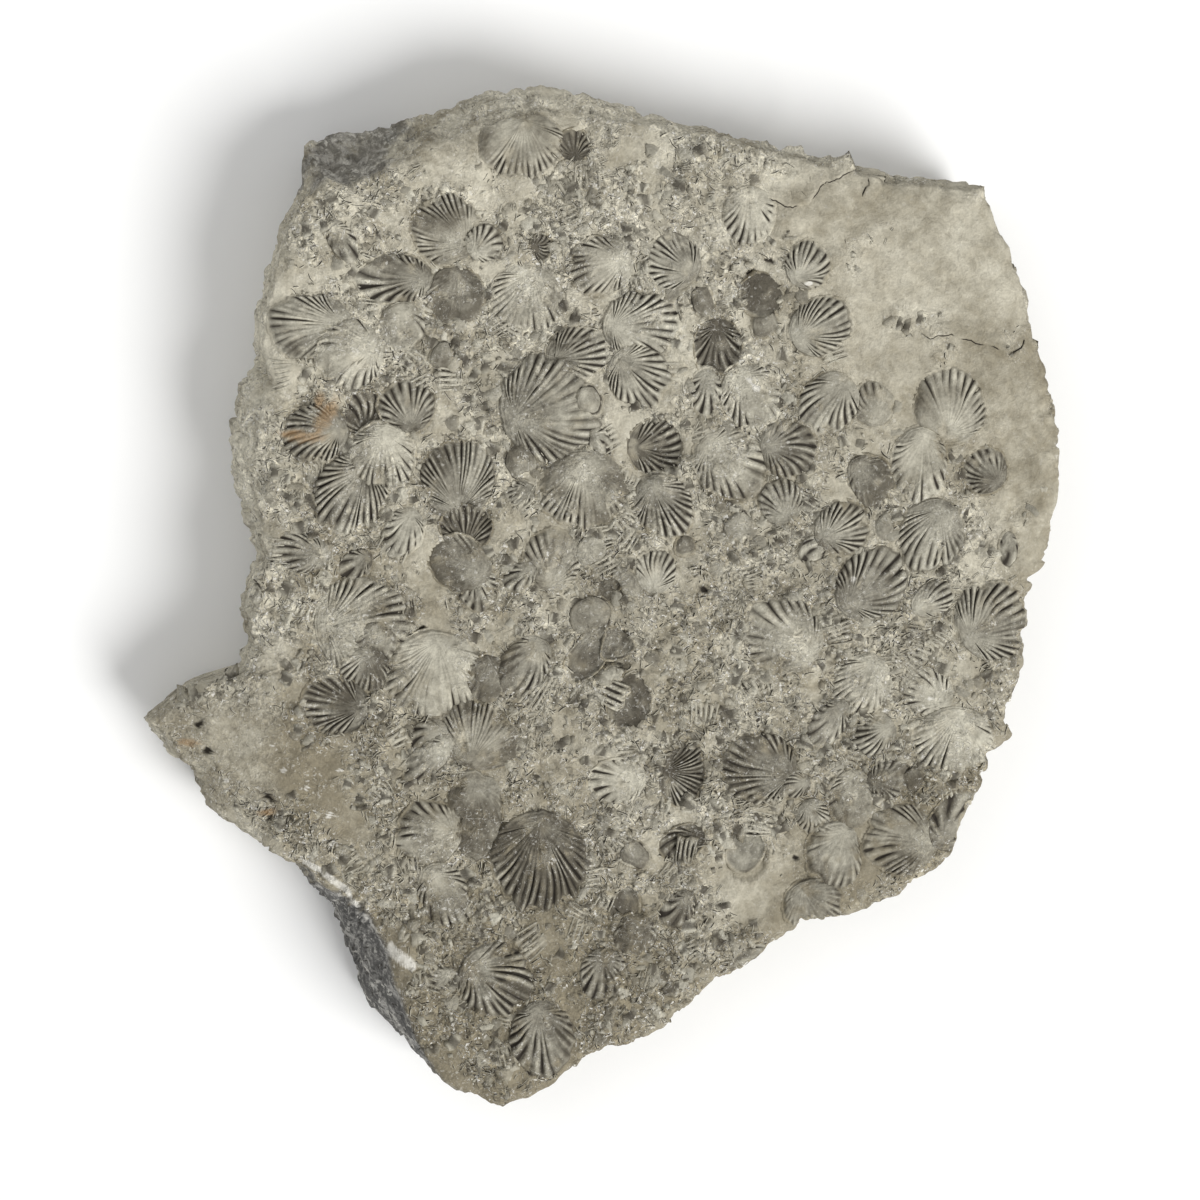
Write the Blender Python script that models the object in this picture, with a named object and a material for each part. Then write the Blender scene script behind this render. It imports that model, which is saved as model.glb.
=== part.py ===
"""Slab of shell-bed limestone whose upper bedding face is crowded with brachiopod valves.

The slab lies flat, +Z up, with its origin under the middle of its outline, on the underside.
+Y runs along its long side. One closed body: the valves are cemented into the stone.

The upper face is one height over the plane: the bed's own height, plus the relief of the valve that
lies on top at that place. Points are set where the shape needs them (rib crests, furrows, shell
margins), joined by a constrained Delaunay triangulation, and lifted to that height. The broken
sides hang from the rim of the face in rows, and a flat underside closes the body.
"""

import math

import bmesh
import bpy
import numpy as np
from mathutils import Vector
from mathutils.geometry import delaunay_2d_cdt

MM = 0.001

# Driving dimensions, in millimetres
LENGTH = 200.0
WIDTH = 181.0
FACE_HEIGHT = 25.6
MIDDLE = (1.0, -1.0)
SEED = 11

# Outline seen from above, clockwise, in millimetres from the middle of its box
LEFT_TAB = [(-87, -27), (-90.5, -23), (-81.5, -16), (-71.5, -13)]
LEFT_SIDE = [(-69.5, -6.5), (-70.5, 2.5), (-67.5, 10), (-70, 18), (-72.5, 26.5), (-72.5, 35.5),
             (-70.5, 43), (-67.5, 46.5), (-67, 57.5), (-65, 63), (-61, 76), (-58, 81.5)]
TOP_SIDE = [(-57.5, 89), (-52, 91), (-41, 92.5), (-32, 95.5), (-24.5, 98.5), (-13.5, 100),
            (-4.5, 98.5), (6.5, 96), (17.5, 93), (28.5, 90.5), (39.5, 87.5), (50.5, 85), (58, 82.5),
            (69.5, 82), (75.5, 82)]
RIGHT_SIDE = [(77.5, 75), (81, 68), (83.5, 60.5), (85, 52), (89, 42), (90.5, 34), (90.5, 23),
              (89, 11.5), (88, 7), (85.5, 4.5), (85, -3), (83.5, -14), (80.5, -24)]
LOWER_RIGHT = [(82, -27), (77.5, -31), (75.5, -38), (71.5, -46), (69.5, -51.5), (63.5, -56),
               (56.5, -60), (49, -63), (39.5, -64.5), (34, -68.5), (27.5, -74), (22.5, -76),
               (16.5, -81.5), (8.5, -87), (0.5, -89), (-10.5, -96), (-20.5, -100)]
LOWER_LEFT = [(-32, -95.5), (-39.5, -89), (-46, -81), (-50.5, -69), (-54, -61), (-60, -52.5),
              (-69.5, -45.5), (-78.5, -39.5), (-81.5, -32.5)]
OUTLINE = LEFT_TAB + LEFT_SIDE + TOP_SIDE + RIGHT_SIDE + LOWER_RIGHT + LOWER_LEFT

# The broken sides, by direction from the middle: degrees, how far the face's rim is set back from
# the brim (the widest line), the brim's height, and how soon the side drops (0 even, 1 at once)
SIDES = [
    (0, 1.6, 16, 0.6), (45, 1.6, 17, 0.6), (80, 1.8, 18, 0.6), (90, 4.0, 20, 0.3),
    (98, 5.0, 19, 0.2), (108, 6.5, 18, 0.3), (113, 6.0, 16, 0.6), (117, 9.0, 15, 0.9),
    (122, 10.5, 14, 0.9), (126, 2.0, 15, 0.6), (142, 2.0, 16, 0.5), (150, 6.5, 17, 0.2),
    (162, 5.0, 17, 0.2), (172, 1.6, 14, 0.6), (200, 1.6, 10, 0.5), (216, 1.8, 9, 0.4),
    (222, 2.5, 8, 0.2), (229, 6.6, 6, 0.1), (237, 11.0, 5, 0.1), (242, 8.0, 6, 0.1),
    (249, 2.2, 9, 0.4), (256, 1.6, 13, 0.6), (300, 1.6, 15, 0.6), (360, 1.6, 16, 0.6),
]
UNDERCUT = 2.6
LEDGE = 1.1
REST_INSET = 6.0
REST_RISE = 1.4
BREAK_ROUGHNESS = 0.7

# Relief of each kind of valve: lift of its margin, height of its dome and depth of its furrows, as
# shares of the valve's mean size, and where along a rib the furrow starts (0 beak, 1 margin)
KINDS = {
    "ribbed": {"lift": 0.050, "dome": 0.17, "furrow": 0.044, "start": 0.20},
    "worn": {"lift": 0.035, "dome": 0.15, "furrow": 0.032, "start": 0.45},
    "smooth": {"lift": 0.040, "dome": 0.12, "furrow": 0.0, "start": 1.0},
    "mould": {"lift": -0.030, "dome": -0.12, "furrow": 0.040, "start": 0.25},
    "hollow": {"lift": -0.050, "dome": -0.07, "furrow": 0.0, "start": 1.0},
}
FAN_SPREAD = math.radians(102)
BEAK_OVERHANG = 0.14

# Valves from the lowest to the one on top: kind, beak x and y, heading in degrees, length from the
# beak to the front margin, width, and ribs
VALVES = [
    ("ribbed", -52, 73, 300, 7.5, 5.5, 4),
    ("ribbed", -37.5, 18, 245, 9, 7.5, 5),
    ("ribbed", -54.5, 10.5, 175, 9, 7.5, 5),
    ("smooth", -44, -3.5, 270, 7.5, 8, 0),
    ("smooth", -23, -10.5, 270, 7.5, 8, 0),
    ("ribbed", 19, 44, 265, 7.5, 6.5, 4),
    ("smooth", -2.5, 13, 270, 6.5, 6.5, 0),
    ("ribbed", 9, 3.5, 80, 7.5, 8, 5),
    ("ribbed", 35, 17, 110, 7.5, 9, 5),
    ("ribbed", 61, -1, 30, 8, 6.5, 5),
    ("ribbed", 55.5, -24, 215, 7.5, 7.5, 5),
    ("ribbed", 39.5, -39.5, 300, 6.5, 6.5, 5),
    ("ribbed", 52.5, -35, 5, 7.5, 8, 5),
    ("ribbed", 76.5, 23.5, 140, 7.5, 9, 5),
    ("worn", 52.5, 35.5, 100, 7.5, 8, 5),
    ("smooth", 6, -60.5, 270, 7.5, 7.5, 0),
    ("ribbed", 16, -57, 235, 7.5, 6, 4),
    ("mould", 18, -45, 205, 8, 6.5, 4),
    ("smooth", 21, -22, 240, 9, 10, 0),
    ("smooth", 22, -66, 215, 9, 10, 0),
    ("smooth", -50, -33, 200, 9, 9, 0),
    ("worn", 40, -8.5, 155, 14, 14.5, 11),
    ("smooth", -25.5, -34, 270, 16, 11, 0),
    ("smooth", 38.5, -56, 300, 10.5, 12.5, 0),
    ("worn", -54, -3, 0, 15.5, 18.5, 11),
    ("worn", 3.5, 67, 200, 10.5, 11, 9),
    ("worn", 27.5, 79.5, 270, 9.5, 10.5, 8),
    ("ribbed", -16, 91, 270, 10, 16.5, 11),
    ("worn", -26.5, 69.5, 145, 11.5, 13, 11),
    ("ribbed", -35, 63, 180, 13, 9.5, 9),
    ("worn", -14.5, 64, 260, 11.5, 14, 11),
    ("ribbed", -50.5, 54.5, 185, 14, 12.5, 11),
    ("worn", -44.5, 50.5, 200, 11.5, 13, 10),
    ("worn", -39.5, 57.5, 280, 8, 9, 7),
    ("ribbed", -51, 34.5, 190, 11, 11, 10),
    ("mould", -46, 33.5, 90, 8, 8, 8),
    ("ribbed", -37.5, 35, 100, 9, 10.5, 9),
    ("ribbed", -46, 27.5, 240, 14, 14, 11),
    ("worn", -43, 34, 270, 10.5, 12.5, 11),
    ("ribbed", -28.5, 19, 90, 13, 14, 11),
    ("mould", -27, 12, 90, 8, 9.5, 9),
    ("smooth", -23.5, 7, 165, 10.5, 9, 0),
    ("ribbed", -46, -8.5, 260, 8, 9.5, 8),
    ("worn", -32.5, -6.5, 265, 14.5, 18.5, 11),
    ("mould", -47.5, -19.5, 170, 11, 11, 10),
    ("ribbed", 16.5, 64, 150, 9.5, 10.5, 9),
    ("ribbed", -10, 47.5, 15, 10.5, 10.5, 9),
    ("ribbed", 1, 54, 0, 13, 13, 11),
    ("ribbed", 2.5, 47.5, 320, 11, 11.5, 11),
    ("hollow", 29.5, 63, 270, 7.5, 8, 0),
    ("mould", 21.5, 54, 270, 9, 9, 9),
    ("ribbed", 36.5, 63, 45, 8, 9, 8),
    ("ribbed", 37, 52, 20, 11, 11, 10),
    ("ribbed", 46, 43, 235, 11, 11, 8),
    ("worn", 25.5, 44.5, 300, 11, 11.5, 10),
    ("worn", 66.5, 32.5, 85, 12.5, 14, 11),
    ("worn", 61.5, 32.5, 265, 13, 11, 9),
    ("ribbed", 31, 31, 350, 10, 11, 8),
    ("smooth", 49, 27, 320, 9, 9, 0),
    ("ribbed", -18, 36.5, 15, 16.5, 20.5, 11),
    ("mould", 5.5, 30.5, 0, 9, 10.5, 9),
    ("worn", 19.5, 31, 320, 13, 13, 10),
    ("ribbed", 8.5, 23.5, 300, 11, 11, 10),
    ("worn", -4.5, 28.5, 270, 13, 16.5, 11),
    ("worn", -10.5, 4.5, 90, 10.5, 11, 10),
    ("hollow", 0, -5.5, 235, 10.5, 7.5, 0),
    ("hollow", 4, -14.5, 270, 9, 9, 0),
    ("ribbed", -13, -7.5, 235, 11, 9, 7),
    ("ribbed", 42, 13, 25, 10, 10.5, 9),
    ("ribbed", 65, 18.5, 255, 12.5, 13, 9),
    ("ribbed", 47, 0, 38, 14, 13, 11),
    ("ribbed", 71, -6.5, 30, 12, 14, 11),
    ("worn", 66.5, -19.5, 150, 9.5, 9, 7),
    ("worn", 52.5, -11.5, 240, 11, 11, 10),
    ("worn", 69, -22, 265, 11.5, 15, 11),
    ("ribbed", 46, -20, 235, 10, 6.5, 6),
    ("ribbed", 35.5, -33.5, 165, 13, 14, 11),
    ("worn", 49, -34, 260, 10.5, 9.5, 8),
    ("worn", 64, -47, 180, 13, 14, 11),
    ("ribbed", 64.5, -46, 52, 10.5, 9.5, 5),
    ("smooth", 47, -45, 235, 11, 12.5, 0),
    ("worn", 6.5, -34, 180, 9.5, 9, 8),
    ("mould", 11.5, -32.5, 350, 8, 12.5, 11),
    ("hollow", 27.5, -45, 270, 9, 8, 0),
    ("ribbed", -13, -42, 268, 17, 18.5, 11),
    ("worn", -29.5, -43.5, 180, 11.5, 12.5, 9),
    ("worn", -26.5, -29.5, 70, 11, 16, 11),
    ("ribbed", -31, -26, 222, 11, 6, 5),
    ("worn", -34, -51.5, 300, 11.5, 9.5, 8),
    ("ribbed", -26.5, -70, 330, 13, 14.5, 9),
    ("ribbed", -13, -79, 273, 12, 12.5, 9),
    ("ribbed", -0.5, -68.5, 270, 9, 9.5, 8),
]

# Spacing of the points that carry the shape
BED_SPACING = 4.4
FOOT_GAP = 0.30
CLEARANCE = 0.42
RIM_CLEARANCE = 1.0


def smooth_step(value):
    """0 below 0, 1 above 1, and an even S between."""
    t = np.clip(value, 0.0, 1.0)
    return t * t * (3.0 - 2.0 * t)


# ---------------------------------------------------------------- outline and sides

def polar(x, y):
    """Direction in degrees, 0 to 360, and distance from the slab's middle."""
    dx = np.asarray(x, float) - MIDDLE[0]
    dy = np.asarray(y, float) - MIDDLE[1]
    return np.degrees(np.arctan2(dy, dx)) % 360.0, np.hypot(dx, dy)


def outline_table():
    """The outline's directions, in rising order, and its distances from the middle."""
    points = np.array(OUTLINE, float)
    low, high = points.min(0), points.max(0)
    points = (points - (low + high) / 2) * (WIDTH, LENGTH) / (high - low)
    degrees, reach = polar(points[:, 0], points[:, 1])
    order = np.argsort(degrees)
    return degrees[order], reach[order]


OUTLINE_DEGREES, OUTLINE_REACH = outline_table()


def brim_reach(degrees):
    """Distance from the middle to the widest line, in a direction."""
    return np.interp(degrees, OUTLINE_DEGREES, OUTLINE_REACH, period=360.0)


def side_at(degrees):
    """Set-back of the rim, height of the brim, and how soon the side drops, in a direction."""
    table = np.array(SIDES, float)
    return [np.interp(degrees, table[:, 0], table[:, column]) for column in (1, 2, 3)]


def rim_distance(x, y):
    """How far a point of the face lies inside the face's rim."""
    degrees, distance = polar(x, y)
    return brim_reach(degrees) - side_at(degrees)[0] - distance


# ---------------------------------------------------------------- height of the face

def bed_height(x, y):
    """The bed without its valves: broad swells, lumps, a left tab that dips, a rounded rim."""
    swell = 0.9 * np.sin(x / 29 + 0.7) * np.cos(y / 33 - 0.3) + 0.5 * np.sin((x + 2 * y) / 19)
    tab = 8.5 * smooth_step((-58 - x) / 30) * smooth_step((4 - y) / 16)
    plain_corner = 0.8 * smooth_step((x - 40) / 20) * smooth_step((y - 40) / 20)
    flake = 1.3 * smooth_step((y - 76 + 0.15 * (x - 30)) / 1.2) * smooth_step((x - 29) / 1.5)
    lumps = 0.42 * np.sin(x / 2.3 + 2.1 * np.sin(y / 7.1)) * np.sin(y / 2.7 + 1.7 * np.sin(x / 6.3))
    lumps = lumps * (1 - 0.7 * smooth_step((x - 40) / 20) * smooth_step((y - 40) / 20))
    rim = 1.5 * (1 - np.clip(rim_distance(x, y) / 5, 0, 1)) ** 2
    return FACE_HEIGHT + swell + lumps - tab - plain_corner - flake - rim


def margin_reach(valve, phi):
    """Distance from the beak to the oval margin, at an angle from the valve's heading."""
    _, _, _, _, length, width, _ = valve
    overhang = BEAK_OVERHANG * length
    along = (length + overhang) / 2
    centre = (length - overhang) / 2
    across = width / 2
    u = np.cos(phi) / along
    v = np.sin(phi) / across
    square = u * u + v * v
    return (u * centre / along + np.sqrt(square - (v * centre / along) ** 2)) / square


def valve_polar(valve, x, y):
    """Angle from the heading, and share of the way from the beak to the margin."""
    _, beak_x, beak_y, heading, _, _, _ = valve
    dx = x - beak_x
    dy = y - beak_y
    phi = np.arctan2(dy, dx) - math.radians(heading)
    phi = (phi + math.pi) % (2 * math.pi) - math.pi
    return phi, np.hypot(dx, dy) / margin_reach(valve, phi)


def valve_relief(valve, phi, share):
    """Height of a valve over the bed: margin, oval dome, and furrows that deepen outwards."""
    kind, _, _, _, length, width, ribs = valve
    shape = KINDS[kind]
    size = (length + width) / 2
    overhang = BEAK_OVERHANG * length
    reach = share * margin_reach(valve, phi)
    along = (reach * np.cos(phi) - (length - overhang) / 2) / ((length + overhang) / 2)
    across = reach * np.sin(phi) / (width / 2)
    dome = np.clip(1 - along ** 2 - across ** 2, 0, 1) ** 0.62
    relief = shape["lift"] + shape["dome"] * dome
    if ribs:
        ramp = smooth_step((share - shape["start"]) / (1 - shape["start"]))
        inside = smooth_step((FAN_SPREAD - np.abs(phi)) / 0.15)
        furrow = 0.5 + 0.5 * np.cos(math.pi * (phi / FAN_SPREAD + 1) * ribs)
        relief = relief - shape["furrow"] * furrow * ramp * inside
    return size * relief


def face_height(x, y):
    """Height of the face: the bed, with the uppermost valve at each place."""
    height = bed_height(x, y)
    relief = np.zeros_like(height)
    for valve in VALVES:
        phi, share = valve_polar(valve, x, y)
        relief = np.where(share < 1.0, valve_relief(valve, phi, np.minimum(share, 1.0)), relief)
    return height + relief


# ---------------------------------------------------------------- points of the face

def valve_points(valve):
    """Points and joining lines of one valve, as angle and share: beak, ribs, margin and foot."""
    _, _, _, _, length, width, ribs = valve
    points = [(0.0, 0.0)]
    lines = []
    if ribs:
        step = 2 * FAN_SPREAD / ribs
        inner = len(points)
        points += [(-FAN_SPREAD + (i + 0.5) * step, 0.52) for i in range(ribs)]
        outer = len(points)
        points += [(-FAN_SPREAD + i * step / 2, 0.97) for i in range(2 * ribs + 1)]
        lines += [(inner + i, outer + 2 * i + 1) for i in range(ribs)]
        lines += [(inner + i, inner + i + 1) for i in range(ribs - 1)]
        lines += [(outer + i, outer + i + 1) for i in range(2 * ribs)]
        back = np.linspace(FAN_SPREAD, 2 * math.pi - FAN_SPREAD, 5)[1:-1]
        first = len(points)
        points += [(float(phi), 0.97) for phi in back]
        lines += [(outer + 2 * ribs, first), (first, first + 1), (first + 1, first + 2)]
        lines += [(first + 2, outer)]
    else:
        count = max(7, round((length + width) * 0.55))
        angles = [2 * math.pi * (i + 0.5) / count for i in range(count)]
        points += [(phi, 0.55) for phi in angles[::2]]
        outer = len(points)
        points += [(phi, 0.97) for phi in angles]
        lines += [(outer + i, outer + (i + 1) % count) for i in range(count)]
    if ribs:
        feet = [-FAN_SPREAD + i * step / 2 for i in range(2 * ribs + 1)] + [math.pi]
    else:
        feet = angles
    points += [(phi, 1.0 + FOOT_GAP / float(margin_reach(valve, phi))) for phi in feet]
    return points, lines


def place(valve, phi, share):
    """The point of the plane at an angle and share of one valve."""
    _, beak_x, beak_y, heading, _, _, _ = valve
    turn = phi + math.radians(heading)
    reach = share * float(margin_reach(valve, phi))
    return beak_x + reach * math.cos(turn), beak_y + reach * math.sin(turn)


def is_covered(x, y, above, edge):
    """Whether a point lies under one of the valves above, widened by an edge."""
    for valve in above:
        _, share = valve_polar(valve, x, y)
        if share < 1.0 + edge:
            return True
    return False


class PointSet:
    """Points of the plane that keep their distance, and the lines that must be edges."""

    def __init__(self):
        self.points = []
        self.lines = []

    def add(self, x, y, clearance):
        """Adds a point and returns its number, or None where another is too close."""
        if self.points:
            near = np.array(self.points)
            gap = np.hypot(near[:, 0] - x, near[:, 1] - y).min()
            if gap < clearance:
                return None
        self.points.append((x, y))
        return len(self.points) - 1


def face_points(rim):
    """The rim, then each valve from the top one down, then the bed between them."""
    plane = PointSet()
    plane.points = list(rim)
    count = len(rim)
    plane.lines = [(i, (i + 1) % count) for i in range(count)]
    for number in range(len(VALVES) - 1, -1, -1):
        valve = VALVES[number]
        above = VALVES[number + 1:]
        points, lines = valve_points(valve)
        numbers = []
        for phi, share in points:
            x, y = place(valve, phi, share)
            hidden = rim_distance(x, y) < RIM_CLEARANCE or is_covered(x, y, above, 0.06)
            numbers.append(None if hidden else plane.add(x, y, CLEARANCE))
        plane.lines += [(numbers[a], numbers[b]) for a, b in lines
                        if numbers[a] is not None and numbers[b] is not None]
    spread = np.random.default_rng(SEED)
    rows = int(LENGTH / (BED_SPACING * 0.87))
    columns = int(WIDTH / BED_SPACING)
    for row in range(-rows // 2, rows // 2 + 1):
        for column in range(-columns // 2, columns // 2 + 1):
            nudge = spread.uniform(-0.22, 0.22, 2) * BED_SPACING
            x = (column + 0.5 * (row % 2)) * BED_SPACING + nudge[0]
            y = row * BED_SPACING * 0.87 + nudge[1]
            if rim_distance(x, y) > BED_SPACING * 0.4 and not is_covered(x, y, VALVES, 0.12):
                plane.add(x, y, BED_SPACING * 0.5)
    return plane


def triangulate(points, lines, outline_count):
    """Constrained Delaunay triangles inside the outline, and where each input point went."""
    outline = list(range(outline_count))
    result = delaunay_2d_cdt([Vector(p) for p in points], lines, [outline], 1, 1e-5)
    plane, _, triangles, sources, _, _ = result
    where = {}
    for number, inputs in enumerate(sources):
        for source in inputs:
            where[source] = number
    return np.array([tuple(p) for p in plane]), triangles, where


# ---------------------------------------------------------------- the closed body

def side_rings(degrees):
    """The rows of a broken side below the rim, from the break down to the underside."""
    roughness = np.random.default_rng(SEED + 1)
    set_back, brim, drop = side_at(degrees)
    reach = brim_reach(degrees)
    top = face_height(*ring_plane(degrees, reach - set_back))
    count = len(degrees)
    rough = roughness.uniform(-1, 1, (5, count)) * BREAK_ROUGHNESS
    break_reach = reach - set_back * (0.35 + 0.4 * drop)
    break_height = brim + (top - brim) * (0.62 - 0.42 * drop) + rough[0]
    return [
        (break_reach, break_height),
        (reach, brim + rough[1]),
        (reach - LEDGE + np.minimum(rough[2], 0.4), brim * 0.72 + rough[3] * 0.5),
        (reach - UNDERCUT * 0.3 - np.abs(rough[4]), brim * 0.40 + rough[2] * 0.4),
        (reach - UNDERCUT, np.full(count, REST_RISE)),
        (reach - UNDERCUT - REST_INSET, np.zeros(count)),
    ]


def ring_plane(degrees, reach):
    """Points of the plane in given directions, at given distances from the middle."""
    turn = np.radians(degrees)
    return MIDDLE[0] + reach * np.cos(turn), MIDDLE[1] + reach * np.sin(turn)


def ring_directions():
    """The outline's own corners, and a point between two that lie far apart."""
    x, y = ring_plane(OUTLINE_DEGREES, OUTLINE_REACH)
    directions = []
    for i in range(len(x)):
        j = (i + 1) % len(x)
        directions.append(OUTLINE_DEGREES[i])
        if math.hypot(x[j] - x[i], y[j] - y[i]) > 7.5:
            step = (OUTLINE_DEGREES[j] - OUTLINE_DEGREES[i]) % 360.0
            directions.append((OUTLINE_DEGREES[i] + step / 2) % 360.0)
    return np.array(sorted(directions))


def add_ring(mesh, degrees, reach, height):
    """One closed row of vertices."""
    x, y = ring_plane(degrees, reach)
    return [mesh.verts.new((a * MM, b * MM, c * MM)) for a, b, c in zip(x, y, height)]


def build_slab():
    """The whole slab as one closed mesh."""
    mesh = bmesh.new()
    degrees = ring_directions()
    rim_x, rim_y = ring_plane(degrees, brim_reach(degrees) - side_at(degrees)[0])
    rim = list(zip(rim_x, rim_y))
    count = len(rim)

    face = face_points(rim)
    plane, triangles, where = triangulate(face.points, face.lines, count)
    height = face_height(plane[:, 0], plane[:, 1])
    top = [mesh.verts.new((x * MM, y * MM, z * MM)) for (x, y), z in zip(plane, height)]
    for corners in triangles:
        mesh.faces.new([top[c] for c in corners])

    upper = [top[where[i]] for i in range(count)]
    for reach, level in side_rings(degrees):
        lower = add_ring(mesh, degrees, reach, level)
        for i in range(count):
            j = (i + 1) % count
            mesh.faces.new((upper[i], lower[i], lower[j], upper[j]))
        upper = lower

    rest = [(v.co.x / MM, v.co.y / MM) for v in upper]
    middle = [(x, y) for x in range(-45, 46, 30) for y in range(-45, 46, 30)]
    lines = [(i, (i + 1) % count) for i in range(count)]
    plane, triangles, where = triangulate(rest + middle, lines, count)
    corner = {where[i]: upper[i] for i in range(count)}
    for number, (x, y) in enumerate(plane):
        if number not in corner:
            corner[number] = mesh.verts.new((x * MM, y * MM, 0.0))
    for corners in triangles:
        mesh.faces.new([corner[c] for c in reversed(corners)])

    across = [v.co.x for v in mesh.verts]
    along = [v.co.y for v in mesh.verts]
    to_middle = Vector((-(min(across) + max(across)) / 2, -(min(along) + max(along)) / 2, 0.0))
    bmesh.ops.translate(mesh, verts=mesh.verts, vec=to_middle)
    bmesh.ops.triangulate(mesh, faces=[f for f in mesh.faces if len(f.verts) > 3])
    bmesh.ops.recalc_face_normals(mesh, faces=mesh.faces)
    data = bpy.data.meshes.new("shell_bed_slab")
    mesh.to_mesh(data)
    mesh.free()
    return data


def limestone():
    """Greyish-beige weathered limestone."""
    material = bpy.data.materials.new("shell_limestone")
    material.use_nodes = True
    shader = material.node_tree.nodes["Principled BSDF"]
    shader.inputs["Base Color"].default_value = (0.36, 0.34, 0.28, 1.0)
    shader.inputs["Roughness"].default_value = 0.85
    shader.inputs["Metallic"].default_value = 0.0
    return material


def main():
    for old in list(bpy.data.objects):
        bpy.data.objects.remove(old, do_unlink=True)
    data = build_slab()
    data.materials.append(limestone())
    slab = bpy.data.objects.new("shell_bed_slab", data)
    bpy.context.scene.collection.objects.link(slab)
    print("triangles:", len(data.polygons))


main()
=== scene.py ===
import math

import bpy
import numpy as np
from mathutils import Matrix, Vector


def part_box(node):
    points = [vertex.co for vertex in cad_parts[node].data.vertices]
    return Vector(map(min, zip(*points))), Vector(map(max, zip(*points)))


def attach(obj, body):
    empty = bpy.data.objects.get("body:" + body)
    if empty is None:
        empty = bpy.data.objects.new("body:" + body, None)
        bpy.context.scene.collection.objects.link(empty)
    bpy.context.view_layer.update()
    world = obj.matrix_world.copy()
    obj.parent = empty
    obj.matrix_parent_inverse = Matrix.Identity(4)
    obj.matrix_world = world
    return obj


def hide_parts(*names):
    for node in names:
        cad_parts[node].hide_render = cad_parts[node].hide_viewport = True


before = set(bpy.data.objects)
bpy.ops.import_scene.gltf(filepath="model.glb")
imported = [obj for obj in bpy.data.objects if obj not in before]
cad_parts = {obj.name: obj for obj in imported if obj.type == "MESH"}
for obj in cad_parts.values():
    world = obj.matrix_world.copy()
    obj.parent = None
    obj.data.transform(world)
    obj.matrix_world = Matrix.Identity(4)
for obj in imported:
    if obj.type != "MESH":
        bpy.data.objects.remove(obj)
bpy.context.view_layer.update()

# Lengths below are in millimetres and turn into metres when a mesh is made.
mm = 0.001
lowCorner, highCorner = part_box("shell_bed_slab")

# Every pattern that looks random is worked out from its own seed, the same in every run
seeds = {
    "chips": 5, "bites": 15, "flake": 11, "wear": 37, "broadWear": 47, "bare": 57, "ovals": 61,
    "plain": 71, "warpX": 81, "warpY": 91, "swells": 221, "dip": 305, "grain": 331, "fresh": 341,
    "underside": 401, "crowding": 46, "swirl": 44, "shells": 100, "layerEdges": 500, "combs": 700,
}

slab = {
    "width": (highCorner.x - lowCorner.x) / mm,
    "length": (highCorner.y - lowCorner.y) / mm,
    "middle": (1.0, -1.0),      # the point that directions are counted from
    "halfCells": 128,           # face cells from the middle to the rim
    "undersideHalfCells": 32,   # a quarter of the face's, because two rows halve the ring twice
    "jag": 0.9,                 # how far the broken outline wanders
    "bite": 1.8,                # and how deep small chips cut into it
    "wallRows": 25,             # rows down the side, the rim included
    "profilePlaces": [0, 0.2, 0.42, 0.6, 0.8, 1],   # where along them the side's profile turns
    "ledge": 1.1,               # how far in the first ledge under the brim lies
    "undercut": 2.6,            # and the foot
    # bedding blocks on the sides: how many round the slab, thickness, how far they stand out, seed
    "blocks": [(52, 3.1, 1.5, 301), (124, 1.5, 0.7, 311)],
    "restRise": 1.4,            # height of the foot over the ground
    "underRows": [(2.6, 0.75), (6.0, 0.0)],         # rows under it: how far in, and height
}

# The outline seen from above, clockwise from the left tab
outline = [
    (-87, -27), (-90.5, -23), (-81.5, -16), (-71.5, -13),
    (-69.5, -6.5), (-70.5, 2.5), (-67.5, 10), (-70, 18), (-72.5, 26.5), (-72.5, 35.5),
    (-70.5, 43), (-67.5, 46.5), (-67, 57.5), (-65, 63), (-61, 76), (-58, 81.5),
    (-57.5, 89), (-52, 91), (-41, 92.5), (-32, 95.5), (-24.5, 98.5), (-13.5, 100),
    (-4.5, 98.5), (6.5, 96), (17.5, 93), (28.5, 90.5), (39.5, 87.5), (50.5, 85), (58, 82.5),
    (69.5, 82), (75.5, 82),
    (77.5, 75), (81, 68), (83.5, 60.5), (85, 52), (89, 42), (90.5, 34), (90.5, 23),
    (89, 11.5), (88, 7), (85.5, 4.5), (85, -3), (83.5, -14), (80.5, -24),
    (82, -27), (77.5, -31), (75.5, -38), (71.5, -46), (69.5, -51.5), (63.5, -56),
    (56.5, -60), (49, -63), (39.5, -64.5), (34, -68.5), (27.5, -74), (22.5, -76),
    (16.5, -81.5), (8.5, -87), (0.5, -89), (-10.5, -96), (-20.5, -100),
    (-32, -95.5), (-39.5, -89), (-46, -81), (-50.5, -69), (-54, -61), (-60, -52.5),
    (-69.5, -45.5), (-78.5, -39.5), (-81.5, -32.5),
]

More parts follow.
